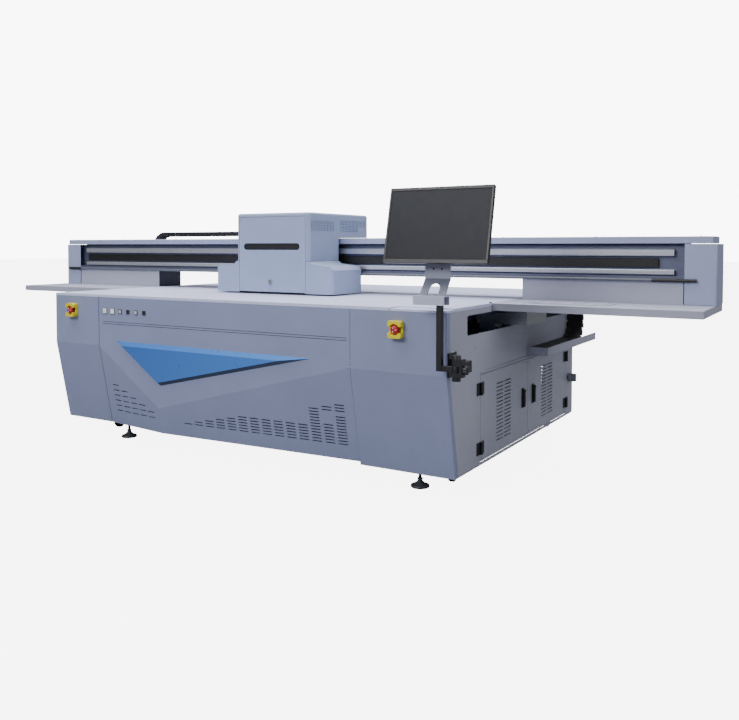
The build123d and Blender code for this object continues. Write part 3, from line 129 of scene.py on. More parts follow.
def noise(tree, vector, scale, detail=3.0, roughness=0.5):
    """Cloudy noise from 0 to 1."""
    node = tree.nodes.new("ShaderNodeTexNoise")
    node.inputs["Scale"].default_value = scale
    node.inputs["Detail"].default_value = detail
    node.inputs["Roughness"].default_value = roughness
    tree.links.new(vector, node.inputs["Vector"])
    return node.outputs["Fac"]


def ramp(tree, value, low, high, start=0.3, end=0.7):
    """Colours from low to high as value goes from start to end."""
    node = tree.nodes.new("ShaderNodeValToRGB")
    node.color_ramp.elements[0].position = start
    node.color_ramp.elements[0].color = low
    node.color_ramp.elements[1].position = end
    node.color_ramp.elements[1].color = high
    tree.links.new(value, node.inputs["Fac"])
    return node.outputs["Color"]


def spread(tree, value, low, high):
    """A number from low to high as value goes from 0 to 1."""
    node = tree.nodes.new("ShaderNodeMapRange")
    node.inputs["To Min"].default_value = low
    node.inputs["To Max"].default_value = high
    tree.links.new(value, node.inputs["Value"])
    return node.outputs["Result"]


def bumped(tree, shader, height, strength, distance):
    """Tilts the shader's normal by a height pattern."""
    node = tree.nodes.new("ShaderNodeBump")
    node.inputs["Strength"].default_value = strength
    node.inputs["Distance"].default_value = distance
    tree.links.new(height, node.inputs["Height"])
    tree.links.new(node.outputs["Normal"], shader.inputs["Normal"])


def gradient(tree, place, axis, start, end):
    """A number from 0 to 1 as one Object coordinate goes from start to end."""
    split = tree.nodes.new("ShaderNodeSeparateXYZ")
    tree.links.new(place.outputs["Object"], split.inputs["Vector"])
    along = tree.nodes.new("ShaderNodeMapRange")
    along.inputs["From Min"].default_value = start
    along.inputs["From Max"].default_value = end
    tree.links.new(split.outputs[axis], along.inputs["Value"])
    return along.outputs["Result"]


def arithmetic(tree, operation, first, second):
    """The result of a Math node; second is a socket or a number."""
    node = tree.nodes.new("ShaderNodeMath")
    node.operation = operation
    tree.links.new(first, node.inputs[0])
    if isinstance(second, float):
        node.inputs[1].default_value = second
    else:
        tree.links.new(second, node.inputs[1])
    return node.outputs["Value"]


def shade(colour, share):
    """A colour made darker or lighter, kept within 1."""
    return tuple(min(1.0, c * share) for c in colour[:3]) + (1.0,)


def powder_coat(name, colour, roughness=0.42, metallic=0.0, cloud=0.05):
    """Sprayed paint: orange peel, faint clouding and a slightly uneven gloss."""
    finish, tree, shader, place = new_finish(name)
    cloudy = noise(tree, place.outputs["Object"], 2.3, 4.0, 0.6)
    tint = ramp(tree, cloudy, shade(colour, 1 - cloud), shade(colour, 1 + cloud))
    tree.links.new(tint, shader.inputs["Base Color"])
    smear = noise(tree, place.outputs["Object"], 9.0, 5.0, 0.6)
    tree.links.new(spread(tree, smear, roughness - 0.06, roughness + 0.08), shader.inputs["Roughness"])
    shader.inputs["Metallic"].default_value = metallic
    shader.inputs["Coat Weight"].default_value = 0.12
    shader.inputs["Coat Roughness"].default_value = 0.35
    peel = noise(tree, place.outputs["Object"], 420.0, 2.0)
    bumped(tree, shader, peel, 0.12, 0.0006)
    return finish


def ground_metal(name, colour, grain, roughness=0.28, metallic=1.0):
    """Metal with fine parallel marks; grain is the scale along each axis."""
    finish, tree, shader, place = new_finish(name)
    marks = noise(tree, stretched(tree, place, grain), 1.0, 6.0, 0.65)
    tint = ramp(tree, marks, shade(colour, 0.86), shade(colour, 1.1))
    tree.links.new(tint, shader.inputs["Base Color"])
    tree.links.new(spread(tree, marks, roughness - 0.08, roughness + 0.12), shader.inputs["Roughness"])
    shader.inputs["Metallic"].default_value = metallic
    bumped(tree, shader, marks, 0.08, 0.0004)
    return finish


def moulded(name, colour, roughness=0.5, coat=0.0):
    """Moulded plastic or rubber with a fine skin texture."""
    finish, tree, shader, place = new_finish(name)
    skin = noise(tree, place.outputs["Object"], 900.0, 2.0)
    dust = noise(tree, place.outputs["Object"], 14.0, 4.0, 0.6)
    tint = ramp(tree, dust, shade(colour, 0.9), shade(colour, 1.12))
    tree.links.new(tint, shader.inputs["Base Color"])
    tree.links.new(spread(tree, dust, roughness - 0.07, roughness + 0.07), shader.inputs["Roughness"])
    shader.inputs["Coat Weight"].default_value = coat
    shader.inputs["Coat Roughness"].default_value = 0.08
    bumped(tree, shader, skin, 0.15, 0.0003)
    return finish


def vacuum_table(name):
    """Ground aluminium bed with a grid of small suction holes on its top."""
    finish, tree, shader, place = new_finish(name)
    marks = noise(tree, stretched(tree, place, (260.0, 6.0, 60.0)), 1.0, 5.0, 0.6)
    tint = ramp(tree, marks, srgb(190, 195, 228), srgb(216, 220, 250))
    pitch, hole_radius = 0.05, 0.00225
    grid = stretched(tree, place, (1 / pitch, 1 / pitch, 0.0))
    cell = tree.nodes.new("ShaderNodeVectorMath")
    cell.operation = "FRACTION"
    tree.links.new(grid, cell.inputs[0])
    middle = tree.nodes.new("ShaderNodeVectorMath")
    middle.operation = "DISTANCE"
    middle.inputs[1].default_value = (0.5, 0.5, 0.0)
    tree.links.new(cell.outputs["Vector"], middle.inputs[0])
    drilled = arithmetic(tree, "LESS_THAN", middle.outputs["Value"], hole_radius / pitch)
    height = tree.nodes.new("ShaderNodeSeparateXYZ")
    tree.links.new(place.outputs["Object"], height.inputs["Vector"])
    on_top = arithmetic(tree, "GREATER_THAN", height.outputs["Z"], BED_TOP - 0.0003)
    hole = arithmetic(tree, "MULTIPLY", drilled, on_top)
    mix = tree.nodes.new("ShaderNodeMix")
    mix.data_type = "RGBA"
    mix.inputs["B"].default_value = srgb(90, 92, 104)
    tree.links.new(hole, mix.inputs["Factor"])
    tree.links.new(tint, mix.inputs["A"])
    tree.links.new(mix.outputs["Result"], shader.inputs["Base Color"])
    tree.links.new(spread(tree, marks, 0.3, 0.46), shader.inputs["Roughness"])
    shader.inputs["Metallic"].default_value = 0.15
    bumped(tree, shader, marks, 0.06, 0.0003)
    return finish


def glossy_blue(name, light, dark):
    """Blue gloss paint that deepens towards the left of the panel."""
    finish, tree, shader, place = new_finish(name)
    along = gradient(tree, place, "X", -0.75, 0.55)
    tint = ramp(tree, along, dark, light, 0.0, 1.0)
    tree.links.new(tint, shader.inputs["Base Color"])
    smear = noise(tree, place.outputs["Object"], 11.0, 4.0)
    tree.links.new(spread(tree, smear, 0.24, 0.34), shader.inputs["Roughness"])
    shader.inputs["Coat Weight"].default_value = 0.3
    shader.inputs["Coat Roughness"].default_value = 0.12
    peel = noise(tree, place.outputs["Object"], 380.0, 2.0)
    bumped(tree, shader, peel, 0.08, 0.0004)
    return finish


def screen_glass(name):
    """The dark coated glass of the operator screen, lighter towards the top as a painted reflection."""
    finish, tree, shader, place = new_finish(name)
    # Painted reflection: the glass is lighter towards the top
    rise = gradient(tree, place, "Z", 1.06, 1.41)
    tint = ramp(tree, rise, srgb(30, 32, 39), srgb(40, 42, 50), 0.0, 1.0)
    tree.links.new(tint, shader.inputs["Base Color"])
    haze = noise(tree, place.outputs["Object"], 30.0, 3.0)
    tree.links.new(spread(tree, haze, 0.42, 0.5), shader.inputs["Roughness"])
    shader.inputs["Specular IOR Level"].default_value = 0.18
    return finish


body_paint = powder_coat("body_powder_coat", srgb(130, 138, 172))
side_paint = powder_coat("side_powder_coat", srgb(160, 163, 182))
# Pale paint for the louvre hoods: painted highlight
louvre_painted_highlight = powder_coat("louvre_painted_highlight", srgb(206, 209, 222))
carriage_paint = powder_coat("carriage_powder_coat", srgb(144, 157, 188), 0.38)
gantry_paint = powder_coat("gantry_powder_coat", srgb(146, 154, 186))
frame_paint = powder_coat("frame_paint", srgb(92, 97, 108), 0.5)
black_steel = powder_coat("black_steel", srgb(15, 17, 23), 0.42, 0.0, 0.12)
foot_paint = powder_coat("foot_paint", srgb(66, 70, 78), 0.45, 0.3, 0.1)
blue_gloss = glossy_blue("blue_gloss", srgb(66, 124, 204), srgb(50, 100, 176))
bed_metal = vacuum_table("vacuum_table")
rail_steel = ground_metal("rail_steel", srgb(206, 210, 222), (4.0, 500.0, 500.0), 0.3, 0.85)
zinc_steel = ground_metal("zinc_steel", srgb(176, 180, 188), (90.0, 90.0, 90.0), 0.34)
beam_metal = ground_metal("beam_aluminium", srgb(104, 109, 134), (3.0, 300.0, 300.0), 0.36, 0.6)
track_black = moulded("track_black", srgb(11, 12, 16), 0.46)
chain_black = moulded("chain_black", srgb(17, 18, 22), 0.5)
plastic_dark = moulded("plastic_dark", srgb(28, 30, 36), 0.46)
plastic_white = moulded("plastic_white", srgb(232, 234, 240), 0.35, coat=0.2)
plastic_grey = moulded("plastic_grey", srgb(98, 104, 112), 0.5)
bottle_white = moulded("bottle_plastic", srgb(224, 226, 228), 0.4)
estop_yellow = moulded("estop_yellow", srgb(212, 196, 22), 0.4, coat=0.1)
estop_red = moulded("estop_red", srgb(168, 8, 28), 0.34, coat=0.15)
wheel_rubber = moulded("wheel_rubber", srgb(44, 46, 51), 0.62)
dark_screen = screen_glass("screen_glass")
screen_shell = moulded("screen_shell", srgb(20, 22, 29), 0.42)
stand_paint = powder_coat("stand_paint", srgb(96, 101, 120), 0.4)
plate_paint = powder_coat("stand_plate_paint", srgb(142, 146, 168), 0.38)
cap_paint = powder_coat("stand_cap_paint", srgb(176, 182, 204), 0.36)
switch_grey = moulded("switch_grey", srgb(118, 122, 134), 0.45)
bar_grey = moulded("bar_grey", srgb(84, 90, 102), 0.4)
# Dark finish for painted shadow and shade in grooves, gaps and a tray's inside, and for one small stop on
# the bed's top
painted_shade_and_stop_dark = moulded("painted_shade_and_stop_dark", srgb(44, 52, 66), 0.4)
lens_clear = moulded("lens_clear", srgb(196, 200, 210), 0.2, coat=0.4)
lens_dark = moulded("lens_dark", srgb(30, 34, 44), 0.2, coat=0.4)
# Lit and shaded copies of the blue gloss for the triangle's sloping edges: painted shade and painted
# light
blue_gloss_painted_shade = glossy_blue("blue_gloss_low_painted_shade", srgb(24, 48, 84), srgb(18, 36, 66))
blue_gloss_painted_light = glossy_blue("blue_gloss_top_painted_light", srgb(76, 136, 212), srgb(62, 116, 194))
cap_finishes = [moulded("cap_" + name, srgb(*colour), 0.35) for name, colour in (
    ("cyan", (20, 140, 190)), ("magenta", (190, 30, 110)), ("yellow", (226, 200, 40)),
    ("black", (28, 28, 30)), ("white", (230, 230, 228)), ("clear", (170, 176, 182)))]

node_finish = {
    "base_frame": frame_paint, "front_panel": body_paint, "front_pillars": body_paint,
    "left_side_panel": side_paint, "right_side_panel": side_paint, "rear_panel": side_paint,
    "print_bed": bed_metal, "vacuum_blower": frame_paint, "y_rails": rail_steel,
    "blue_trim": blue_gloss, "chain_trough": side_paint, "y_chain_lower_run": chain_black,
    "door_hinge_leaves": black_steel, "estop_guards": estop_yellow,
    "control_panel_fittings": plastic_dark, "control_modules": plastic_grey,
    "ink_bottles": bottle_white, "clamp_bracket": black_steel,
    "foot_front_left": foot_paint, "foot_front_right": foot_paint,
    "foot_rear_left": foot_paint, "foot_rear_right": foot_paint,
    "caster_fork_front_left": zinc_steel, "caster_fork_front_right": zinc_steel,
    "wheel_front_left": wheel_rubber, "wheel_front_right": wheel_rubber,
    "wheel_rear_left": wheel_rubber, "wheel_rear_right": wheel_rubber,
    "door_front": side_paint, "door_front_fittings": black_steel,
    "door_rear": side_paint, "door_rear_fittings": black_steel,
    "estop_head_left": estop_red, "estop_head_right": estop_red,
    "push_button_start": plastic_white, "push_button_home": plastic_white,
    "main_switch": plastic_dark, "clamp_knob": plastic_dark, "post_arm": black_steel,
    "monitor_stand": stand_paint, "monitor": plastic_dark, "gantry_beam": beam_metal,
    "gantry_covers": gantry_paint, "gantry_trays": side_paint, "x_rails": rail_steel,
    "x_magnet_track": track_black, "crash_bar": plastic_dark, "x_chain_lower_run": chain_black,
    "y_bearing_arms": zinc_steel, "y_chain_upper_run": chain_black,
    "y_chain_bend": chain_black, "x_chain_bend": chain_black, "slider_plate": beam_metal,
    "x_chain_upper_run": chain_black, "carriage_frame": beam_metal,
    "carriage_upper_cover": carriage_paint, "carriage_lower_cover": carriage_paint,
    "service_hatch": carriage_paint, "print_heads": plastic_dark, "uv_lamps": black_steel,
}
for node_name, finish in node_finish.items():
    for material_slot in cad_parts[node_name].material_slots:
        material_slot.material = finish


# ------------------------------------------------------------------ modelling helpers
def unique(items):
    """Each item once, in the order in which it first comes."""
    return list(dict.fromkeys(items))


def break_edges(bm, edges, width, segments):
    """Rounds edges with a narrow bevel."""
    bmesh.ops.bevel(bm, geom=edges, offset=width, offset_type="OFFSET", segments=segments,
                    profile=0.5, affect="EDGES", clamp_overlap=True, material=-1)


def add_object(name, mesh):
    """A new object at the origin that shows a mesh."""
    made = bpy.data.objects.new(name, mesh)
    bpy.context.collection.objects.link(made)
    return made


def add_block(bm, low, high, bevel=0.0, finish=0, place=None, segments=1):
    """A rectangular block between two corners, with its edges broken."""
    made = bmesh.ops.create_cube(bm, size=1.0)["verts"]
    size = [top - bottom for bottom, top in zip(low, high)]
    middle = [(top + bottom) / 2 for bottom, top in zip(low, high)]
    bmesh.ops.scale(bm, vec=size, verts=made)
    bmesh.ops.translate(bm, vec=middle, verts=made)
    if place is not None:
        bmesh.ops.transform(bm, matrix=place, verts=made)
    for face in {face for vert in made for face in vert.link_faces}:
        face.material_index = finish
    if bevel:
        break_edges(bm, unique(edge for vert in made for edge in vert.link_edges), bevel, segments)


def add_turned(bm, profile, centre, direction, steps=32, finish=0):
    """A turned shape: profile holds (radius, distance along direction) pairs."""
    before = set(bm.faces)
    along = Vector(direction).normalized()
    across = along.orthogonal().normalized()
    points = [bm.verts.new(Vector(centre) + across * radius + along * rise)
              for radius, rise in profile]
    edges = [bm.edges.new(pair) for pair in zip(points, points[1:])]
    bmesh.ops.spin(bm, geom=points + edges, cent=centre, axis=along, angle=2 * math.pi,
                   steps=steps, use_merge=True)
    faces = [face for face in bm.faces if face not in before]
    for face in faces:
        face.material_index = finish
    verts = unique(vert for face in faces for vert in face.verts)
    bmesh.ops.remove_doubles(bm, verts=verts, dist=1e-6)


def finish_piece(name, bm, body, finishes):
    """Turns a bmesh into a piece of the machine that rides on a body."""
    bmesh.ops.recalc_face_normals(bm, faces=bm.faces)
    mesh = bpy.data.meshes.new(name)
    bm.to_mesh(mesh)
    bm.free()
    for finish in finishes:
        mesh.materials.append(finish)
    piece = add_object(name, mesh)
    if body:
        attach(piece, body)
    return piece


def reworked(node, body, finishes, width=0.0008, choose=None):
    """A copy of a CAD node with its edges broken, and a finish chosen for each face."""
    bm = bmesh.new()
    bm.from_mesh(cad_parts[node].data)
    bmesh.ops.remove_doubles(bm, verts=bm.verts, dist=1e-6)
    bmesh.ops.dissolve_limit(bm, angle_limit=math.radians(0.5), verts=bm.verts, edges=bm.edges)
    bm.normal_update()
    if choose:
        for face in bm.faces:
            face.material_index = choose(face.calc_center_median(), face.normal)
    sharp = [edge for edge in bm.edges
             if len(edge.link_faces) == 2 and edge.calc_face_angle() > math.radians(40)]
    if width:
        break_edges(bm, sharp, width, 2)
    mesh = bpy.data.meshes.new(node + "_shape")
    bm.to_mesh(mesh)
    bm.free()
    for finish in finishes:
        mesh.materials.append(finish)
    piece = add_object(node + "_shape", mesh)
    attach(piece, body)
    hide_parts(node)
    return piece


def add_screw(bm, centre, direction, radius):
    """A button-head screw with a hexagon socket."""
    add_turned(bm, ((0.0, 0.0006), (radius * 0.42, 0.0006), (radius * 0.48, radius * 0.5),
                    (radius * 0.78, radius * 0.42), (radius, 0.0), (radius, -0.0004)),
               centre, direction, steps=12)


def crossing_point(first, second):
    """Where two flat lines cross, each given by two points on it."""
    run, other = first[1] - first[0], second[1] - second[0]
    share = (second[0] - first[0]).cross(other) / run.cross(other)
    return first[0] + run * share


# ------------------------------------------------------------------ energy chains
def add_link(bm, middle, along, across, pitch, width, height):
    """One link of an energy chain: lapped side plates joined by cross bars."""
    turn = Matrix((along, across, Vector(along).cross(Vector(across)))).transposed().to_4x4()
    place = Matrix.Translation(middle) @ turn
    wall, half_width, half_height = 0.004, width / 2, height / 2
    for side in (-1, 1):
        for start, stop, inset in ((-0.5, 0.14, 0.0), (-0.14, 0.5, wall)):
            outer = side * (half_width - inset)
            inner = side * (half_width - inset - wall)
            add_block(bm, (start * pitch, min(outer, inner), -half_height),
                      (stop * pitch, max(outer, inner), half_height), 0.0012, 0, place)
        add_block(bm, (-0.44 * pitch, -half_width + wall, side * half_height - 0.002 * (side + 1)),
                  (0.44 * pitch, half_width - wall, side * half_height + 0.002 * (1 - side)),
                  0.0008, 0, place)


def straight_run(bm, first, last, across, width, height, pitch):
    """Links in a straight line between two points on the chain's middle line."""
    first, last = Vector(first), Vector(last)
    count = max(1, round((last - first).length / pitch))
    step = (last - first) / count
    for index in range(count):
        add_link(bm, first + step * (index + 0.5), step.normalized(), across, step.length, width,
                 height)


def chain_bend(bm, centre, out, across, radius, width, height, pitch):
    """Links round a half turn; out points from the centre to the bend's far side."""
    out, up = Vector(out), Vector((0, 0, 1))
    count = round(math.pi * radius / pitch)
    for index in range(count):
        angle = math.pi * ((index + 0.5) / count - 0.5)
        point = Vector(centre) + radius * (out * math.cos(angle) + up * math.sin(angle))
        along = up * math.cos(angle) - out * math.sin(angle)
        add_link(bm, point, along, across, math.pi * radius / count, width, height)


def make_chain(prefix, chain, across, out, carrier, moved):
    """An energy chain: two straight runs that ride on no body and a bend between them on a body of its
    own; carrier and moved are not used.
    """
    half = chain["link"] / 2
    near, far = chain["sides"]
    middle, width = (near + far) / 2, far - near
    low, high = chain["low"] + half, chain["high"] - half

    def place(distance, level):
        return (middle, distance, level) if across[0] else (distance, middle, level)

    for run, start, level, ends in (
        ("lower", chain["fixed"], low, (carrier, moved)),
        ("upper", chain["moving"], high, (moved, carrier)),
    ):
        name = f"{prefix}_chain_{run}_run"
        bm = bmesh.new()
        straight_run(bm, place(start, level), place(chain["bend"], level), across, width,
                     chain["link"], chain["pitch"])
        piece = finish_piece(name + "_links", bm, None, [chain_black])
        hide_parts(name)
        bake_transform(piece)
    bm = bmesh.new()
    chain_bend(bm, place(chain["bend"], (low + high) / 2), out, across, (high - low) / 2, width,
               chain["link"], chain["pitch"])
    piece = finish_piece(prefix + "_chain_bend_links", bm, prefix + "_bend", [chain_black])
    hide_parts(prefix + "_chain_bend")


def make_chains():
    make_chain("y", Y_CHAIN, (1, 0, 0), (0, 1, 0), "cabinet", "gantry")
    make_chain("x", X_CHAIN, (0, 1, 0), (-1, 0, 0), "gantry", "slider")


# ------------------------------------------------------------------ controls on the front
def make_estops():
    """Mushroom heads with three moulded marks, and their yellow guards."""
    for place, centre_x in (("left", ESTOP_LEFT), ("right", ESTOP_RIGHT)):
        bm = bmesh.new()
        centre = (centre_x, FRONT, ESTOP_Z)
        add_turned(bm, ((0.0, 0.0365), (0.009, 0.0362), (0.0165, 0.0345), (0.0203, 0.031),
                        (0.0214, 0.0265), (0.0205, 0.0225), (0.016, 0.0205), (0.0125, 0.020),
                        (0.011, 0.019), (0.011, -0.011), (0.0, -0.011)),
                   centre, (0, -1, 0), 40)
        for turn in range(3):
            angle = 2 * math.pi * turn / 3
            spoke = (Matrix.Translation((centre_x, FRONT - 0.0362, ESTOP_Z))
                     @ Matrix.Rotation(angle, 4, "Y"))
            add_block(bm, (0.006, -0.0004, -0.0012), (0.014, 0.001, 0.0012), 0.0003, 1, spoke)
        piece = finish_piece("estop_mushroom_" + place, bm, "estop_" + place,
                             [estop_red, plastic_white])
        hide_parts("estop_head_" + place)
    reworked("estop_guards", "cabinet", [estop_yellow], 0.0012)


def make_controls():
    """Bezels round the buttons and lamps, the lamps' lenses, and dark strips of painted shade in the two
    grooves below them.
    """
    bm = bmesh.new()
    for index in range(CONTROL_COUNT):
        x = BUTTON_START + index * BUTTON_PITCH
        half = BUTTON_HALF if index < BUTTON_COUNT else LAMP_HALF
        ring = half + BEZEL
        for low, high in (((-ring, -ring), (ring, -half)), ((-ring, half), (ring, ring)),
                          ((-ring, -half), (-half, half)), ((half, -half), (ring, half))):
            add_block(bm, (x + low[0], FRONT - 0.003, BUTTON_Z + low[1]),
                      (x + high[0], FRONT, BUTTON_Z + high[1]), 0.0006)
    finish_piece("button_bezels", bm, "cabinet", [plastic_grey])

    bm = bmesh.new()
    for index in range(BUTTON_COUNT, CONTROL_COUNT):
        x = BUTTON_START + index * BUTTON_PITCH
        add_block(bm, (x - LENS_HALF, FRONT - 0.0044, BUTTON_Z - LENS_HALF),
                  (x + LENS_HALF, FRONT - 0.0036, BUTTON_Z + LENS_HALF), 0.0006, index % 2)
    finish_piece("lamp_lenses", bm, "cabinet", [lens_clear, lens_dark])

    # Dark strips in the grooves: painted shade
    bm = bmesh.new()
    for z in GROOVE_HEIGHTS:
        add_block(bm, (GROOVE_LEFT, FRONT + 0.0004, z - GROOVE_HALF),
                  (GROOVE_RIGHT, FRONT + 0.0012, z + GROOVE_HALF))
    finish_piece("groove_painted_shade_strips", bm, "cabinet", [painted_shade_and_stop_dark])


def make_trim():
    """The raised blue triangle: a flat face with sloping edges of different widths; the upward sloping
    edge is lighter as painted light, the others darker as painted shade.
    """
    corners = [Vector(corner) for corner in (TRIM_LEFT, TRIM_RIGHT, TRIM_LOW)]
    slopes = (TRIM_TOP_SLOPE, TRIM_LOW_SLOPE, TRIM_LEFT_SLOPE)
    middle = sum(corners, Vector((0.0, 0.0))) / 3
    lines = []
    for index, slope in enumerate(slopes):
        start, end = corners[index], corners[(index + 1) % 3]
        inward = Vector((end.y - start.y, start.x - end.x)).normalized()
        if inward.dot(middle - start) < 0:
            inward = -inward
        lines.append((start + inward * slope, end + inward * slope))
    raised = [crossing_point(lines[index - 1], lines[index]) for index in range(3)]
    bm = bmesh.new()
    foot = [bm.verts.new((corner.x, FRONT, corner.y)) for corner in corners]
    head = [bm.verts.new((corner.x, FRONT - TRIM_THICKNESS, corner.y)) for corner in raised]
    rings = [bm.edges.new((ring[index], ring[(index + 1) % 3]))
             for ring in (foot, head) for index in range(3)]
    bmesh.ops.bridge_loops(bm, edges=rings)
    bmesh.ops.contextual_create(bm, geom=head)
    bmesh.ops.contextual_create(bm, geom=foot)
    bmesh.ops.recalc_face_normals(bm, faces=bm.faces)
    # Painted light on the upward sloping edge, painted shade on the other sloping edges
    for face in bm.faces:
        if abs(face.normal.y) > 0.98:
            face.material_index = 0
        else:
            face.material_index = 2 if face.normal.z > 0.2 else 1
    edges = [edge for edge in bm.edges if edge.calc_face_angle(0.0) > math.radians(10)]
    break_edges(bm, edges, 0.0008, 2)
    piece = finish_piece("blue_triangle", bm, "cabinet", [blue_gloss, blue_gloss_painted_shade, blue_gloss_painted_light])
    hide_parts("blue_trim")


# ------------------------------------------------------------------ cabinet
def make_panel_screws():
    bm = bmesh.new()
    for door in DOORS.values():
        for y in (door["edges"][0] + 0.02, door["edges"][1] - 0.02):
            for z in DOOR_SCREW_HEIGHTS:
                add_screw(bm, (HALF_LENGTH, y, z), (1, 0, 0), PANEL_SCREW)
    for y in (-0.86, -0.62, 0.05, 0.86):
        add_screw(bm, (HALF_LENGTH, y, 0.665), (1, 0, 0), PANEL_SCREW)
    for y in (-0.86, -0.3, 0.3, 0.86):
        add_screw(bm, (-HALF_LENGTH, y, 0.665), (-1, 0, 0), PANEL_SCREW)
        add_screw(bm, (-HALF_LENGTH, y * 0.8, 0.2), (-1, 0, 0), PANEL_SCREW)
    for x in (-1.25, -0.6, 0.0, 0.6, 1.25):
        for z in (0.14, 0.8):
            add_screw(bm, (x, -FRONT, z), (0, 1, 0), PANEL_SCREW)
    finish_piece("panel_screws", bm, "cabinet", [zinc_steel])


def make_door_details():
    """Screws in the hinges and handles, and a small hood over each louvre, painted pale as a painted
    highlight.
    """
    for place, door in DOORS.items():
        bm = bmesh.new()
        for low in HINGE_HEIGHTS:
            for rise in HINGE_SCREW_RISES:
                add_screw(bm, (HALF_LENGTH + 0.004, door["hinge"] + door["way"] * 0.028, low + rise),
                          (1, 0, 0), HINGE_SCREW)
        add_screw(bm, (HALF_LENGTH + HANDLE_FACE, door["handle"], HANDLE_HEIGHT), (1, 0, 0), 0.0045)
        finish_piece("hinge_screws_" + place, bm, place + "_door", [black_steel])

    # The hoods are painted pale as a painted highlight
    for place, door in DOORS.items():
        bm = bmesh.new()
        for y in door["louvres"]:
            for row in range(LOUVRE_ROWS):
                foot = (HALF_LENGTH, y, LOUVRE_LOW + row * LOUVRE_PITCH + 0.0034)
                hood = Matrix.Translation(foot) @ Matrix.Rotation(LOUVRE_TILT, 4, "Y")
                add_block(bm, (-0.0008, -LOUVRE_HALF, -0.0008), (0.0046, LOUVRE_HALF, 0.0008), 0.0006,
                          0, hood)
        finish_piece("louvre_hoods_" + place, bm, place + "_door", [louvre_painted_highlight])


def make_edge_details():
    """A dark strip of painted shadow on the bed's front edge, a small stop on the bed's top, and the seal
    along the sill under the doors.
    """
    bm = bmesh.new()
    # Painted shadow: a dark strip where the gap at the corner cover's end shades the bed's front edge
    add_block(bm, (1.0085, FRONT + 0.0002, 0.8485), (1.0785, FRONT + 0.0012, 0.8545), 0.0004)
    add_block(bm, (1.2885, -0.4195, BED_TOP), (1.2985, -0.4095, BED_TOP + 0.006), 0.001)
    finish_piece("bed_edge_painted_shadow_and_stop", bm, "cabinet", [painted_shade_and_stop_dark])
    bm = bmesh.new()
    add_block(bm, (1.262, DOORS["front"]["edges"][0], 0.096),
              (1.276, DOORS["rear"]["edges"][1], 0.1065), 0.002, segments=2)
    finish_piece("door_sill_seal", bm, "cabinet", [wheel_rubber])


def make_bottle_caps():
    bm = bmesh.new()
    for index in range(BOTTLE_COUNT):
        foot = (BOTTLE_START + index * BOTTLE_PITCH, BOTTLE_Y, BOTTLE_FLOOR)
        add_turned(bm, ((0.0, 0.262), (0.015, 0.262), (0.0185, 0.259), (0.0195, 0.254),
                        (0.0195, 0.238), (0.0, 0.238)), foot, (0, 0, 1), 24, index)
    finish_piece("ink_bottle_caps", bm, "cabinet", cap_finishes)


def make_feet():
    """Levelling feet: a round pad, a threaded spindle and a hexagon nut."""
    for name, body in (("front_left", "foot_fl"), ("front_right", "foot_fr"),
                       ("rear_left", "foot_rl"), ("rear_right", "foot_rr")):
        low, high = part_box("foot_" + name)
        x, y = (low[0] + high[0]) / 2, (low[1] + high[1]) / 2
        bm = bmesh.new()
        thread = []
        rise = 0.046
        while rise < high[2] - 0.003:
            thread += [(0.0078, rise), (0.0068, rise + 0.001)]
            rise += 0.002
        add_turned(bm, ((0.0, 0.0), (0.043, 0.0), (0.045, 0.002), (0.045, 0.010), (0.0435, 0.0125),
                        (0.037, 0.0135), (0.030, 0.0165), (0.020, 0.024), (0.014, 0.029),
                        (0.0115, 0.033), (0.008, 0.034), (0.008, 0.045), *thread,
                        (0.0, high[2])), (x, y, 0.0), (0, 0, 1), 32)
        nut = bmesh.ops.create_cone(bm, cap_ends=True, segments=6, radius1=0.0139, radius2=0.0139,
                                    depth=0.009, matrix=Matrix.Translation((x, y, 0.0405)))
        break_edges(bm, unique(edge for vert in nut["verts"] for edge in vert.link_edges), 0.0008, 1)
        piece = finish_piece("levelling_foot_" + name, bm, body, [foot_paint])
        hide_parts("foot_" + name)


def make_wheels():
    """Caster wheels: a rubber tread on a plastic hub."""
    for place, body in (("front_left", "wheel_fl"), ("front_right", "wheel_fr"),
                        ("rear_left", "wheel_rl"), ("rear_right", "wheel_rr")):
        low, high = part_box("wheel_" + place)
        centre = [(a + b) / 2 for a, b in zip(low, high)]
        half = (high[0] - low[0]) / 2
        bm = bmesh.new()
        add_turned(bm, ((0.026, -half + 0.002), (0.031, -half), (0.0345, -half + 0.0015),
                        (0.036, -half + 0.005), (0.036, -0.004), (0.0352, -0.003),
                        (0.0352, 0.003), (0.036, 0.004), (0.036, half - 0.005),
                        (0.0345, half - 0.0015), (0.031, half), (0.026, half - 0.002),
                        (0.026, -half + 0.002)), centre, (1, 0, 0), 48)
        add_turned(bm, ((0.00506, -half + 0.001), (0.011, -half + 0.001), (0.012, -half + 0.004),
                        (0.0235, -half + 0.005), (0.0262, -half + 0.002), (0.0262, half - 0.002),
                        (0.0235, half - 0.005), (0.012, half - 0.004), (0.011, half - 0.001),
                        (0.00506, half - 0.001), (0.00506, -half + 0.001)), centre, (1, 0, 0), 32, 1)
        piece = finish_piece("caster_wheel_" + place, bm, body, [wheel_rubber, plastic_grey])
        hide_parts("wheel_" + place)


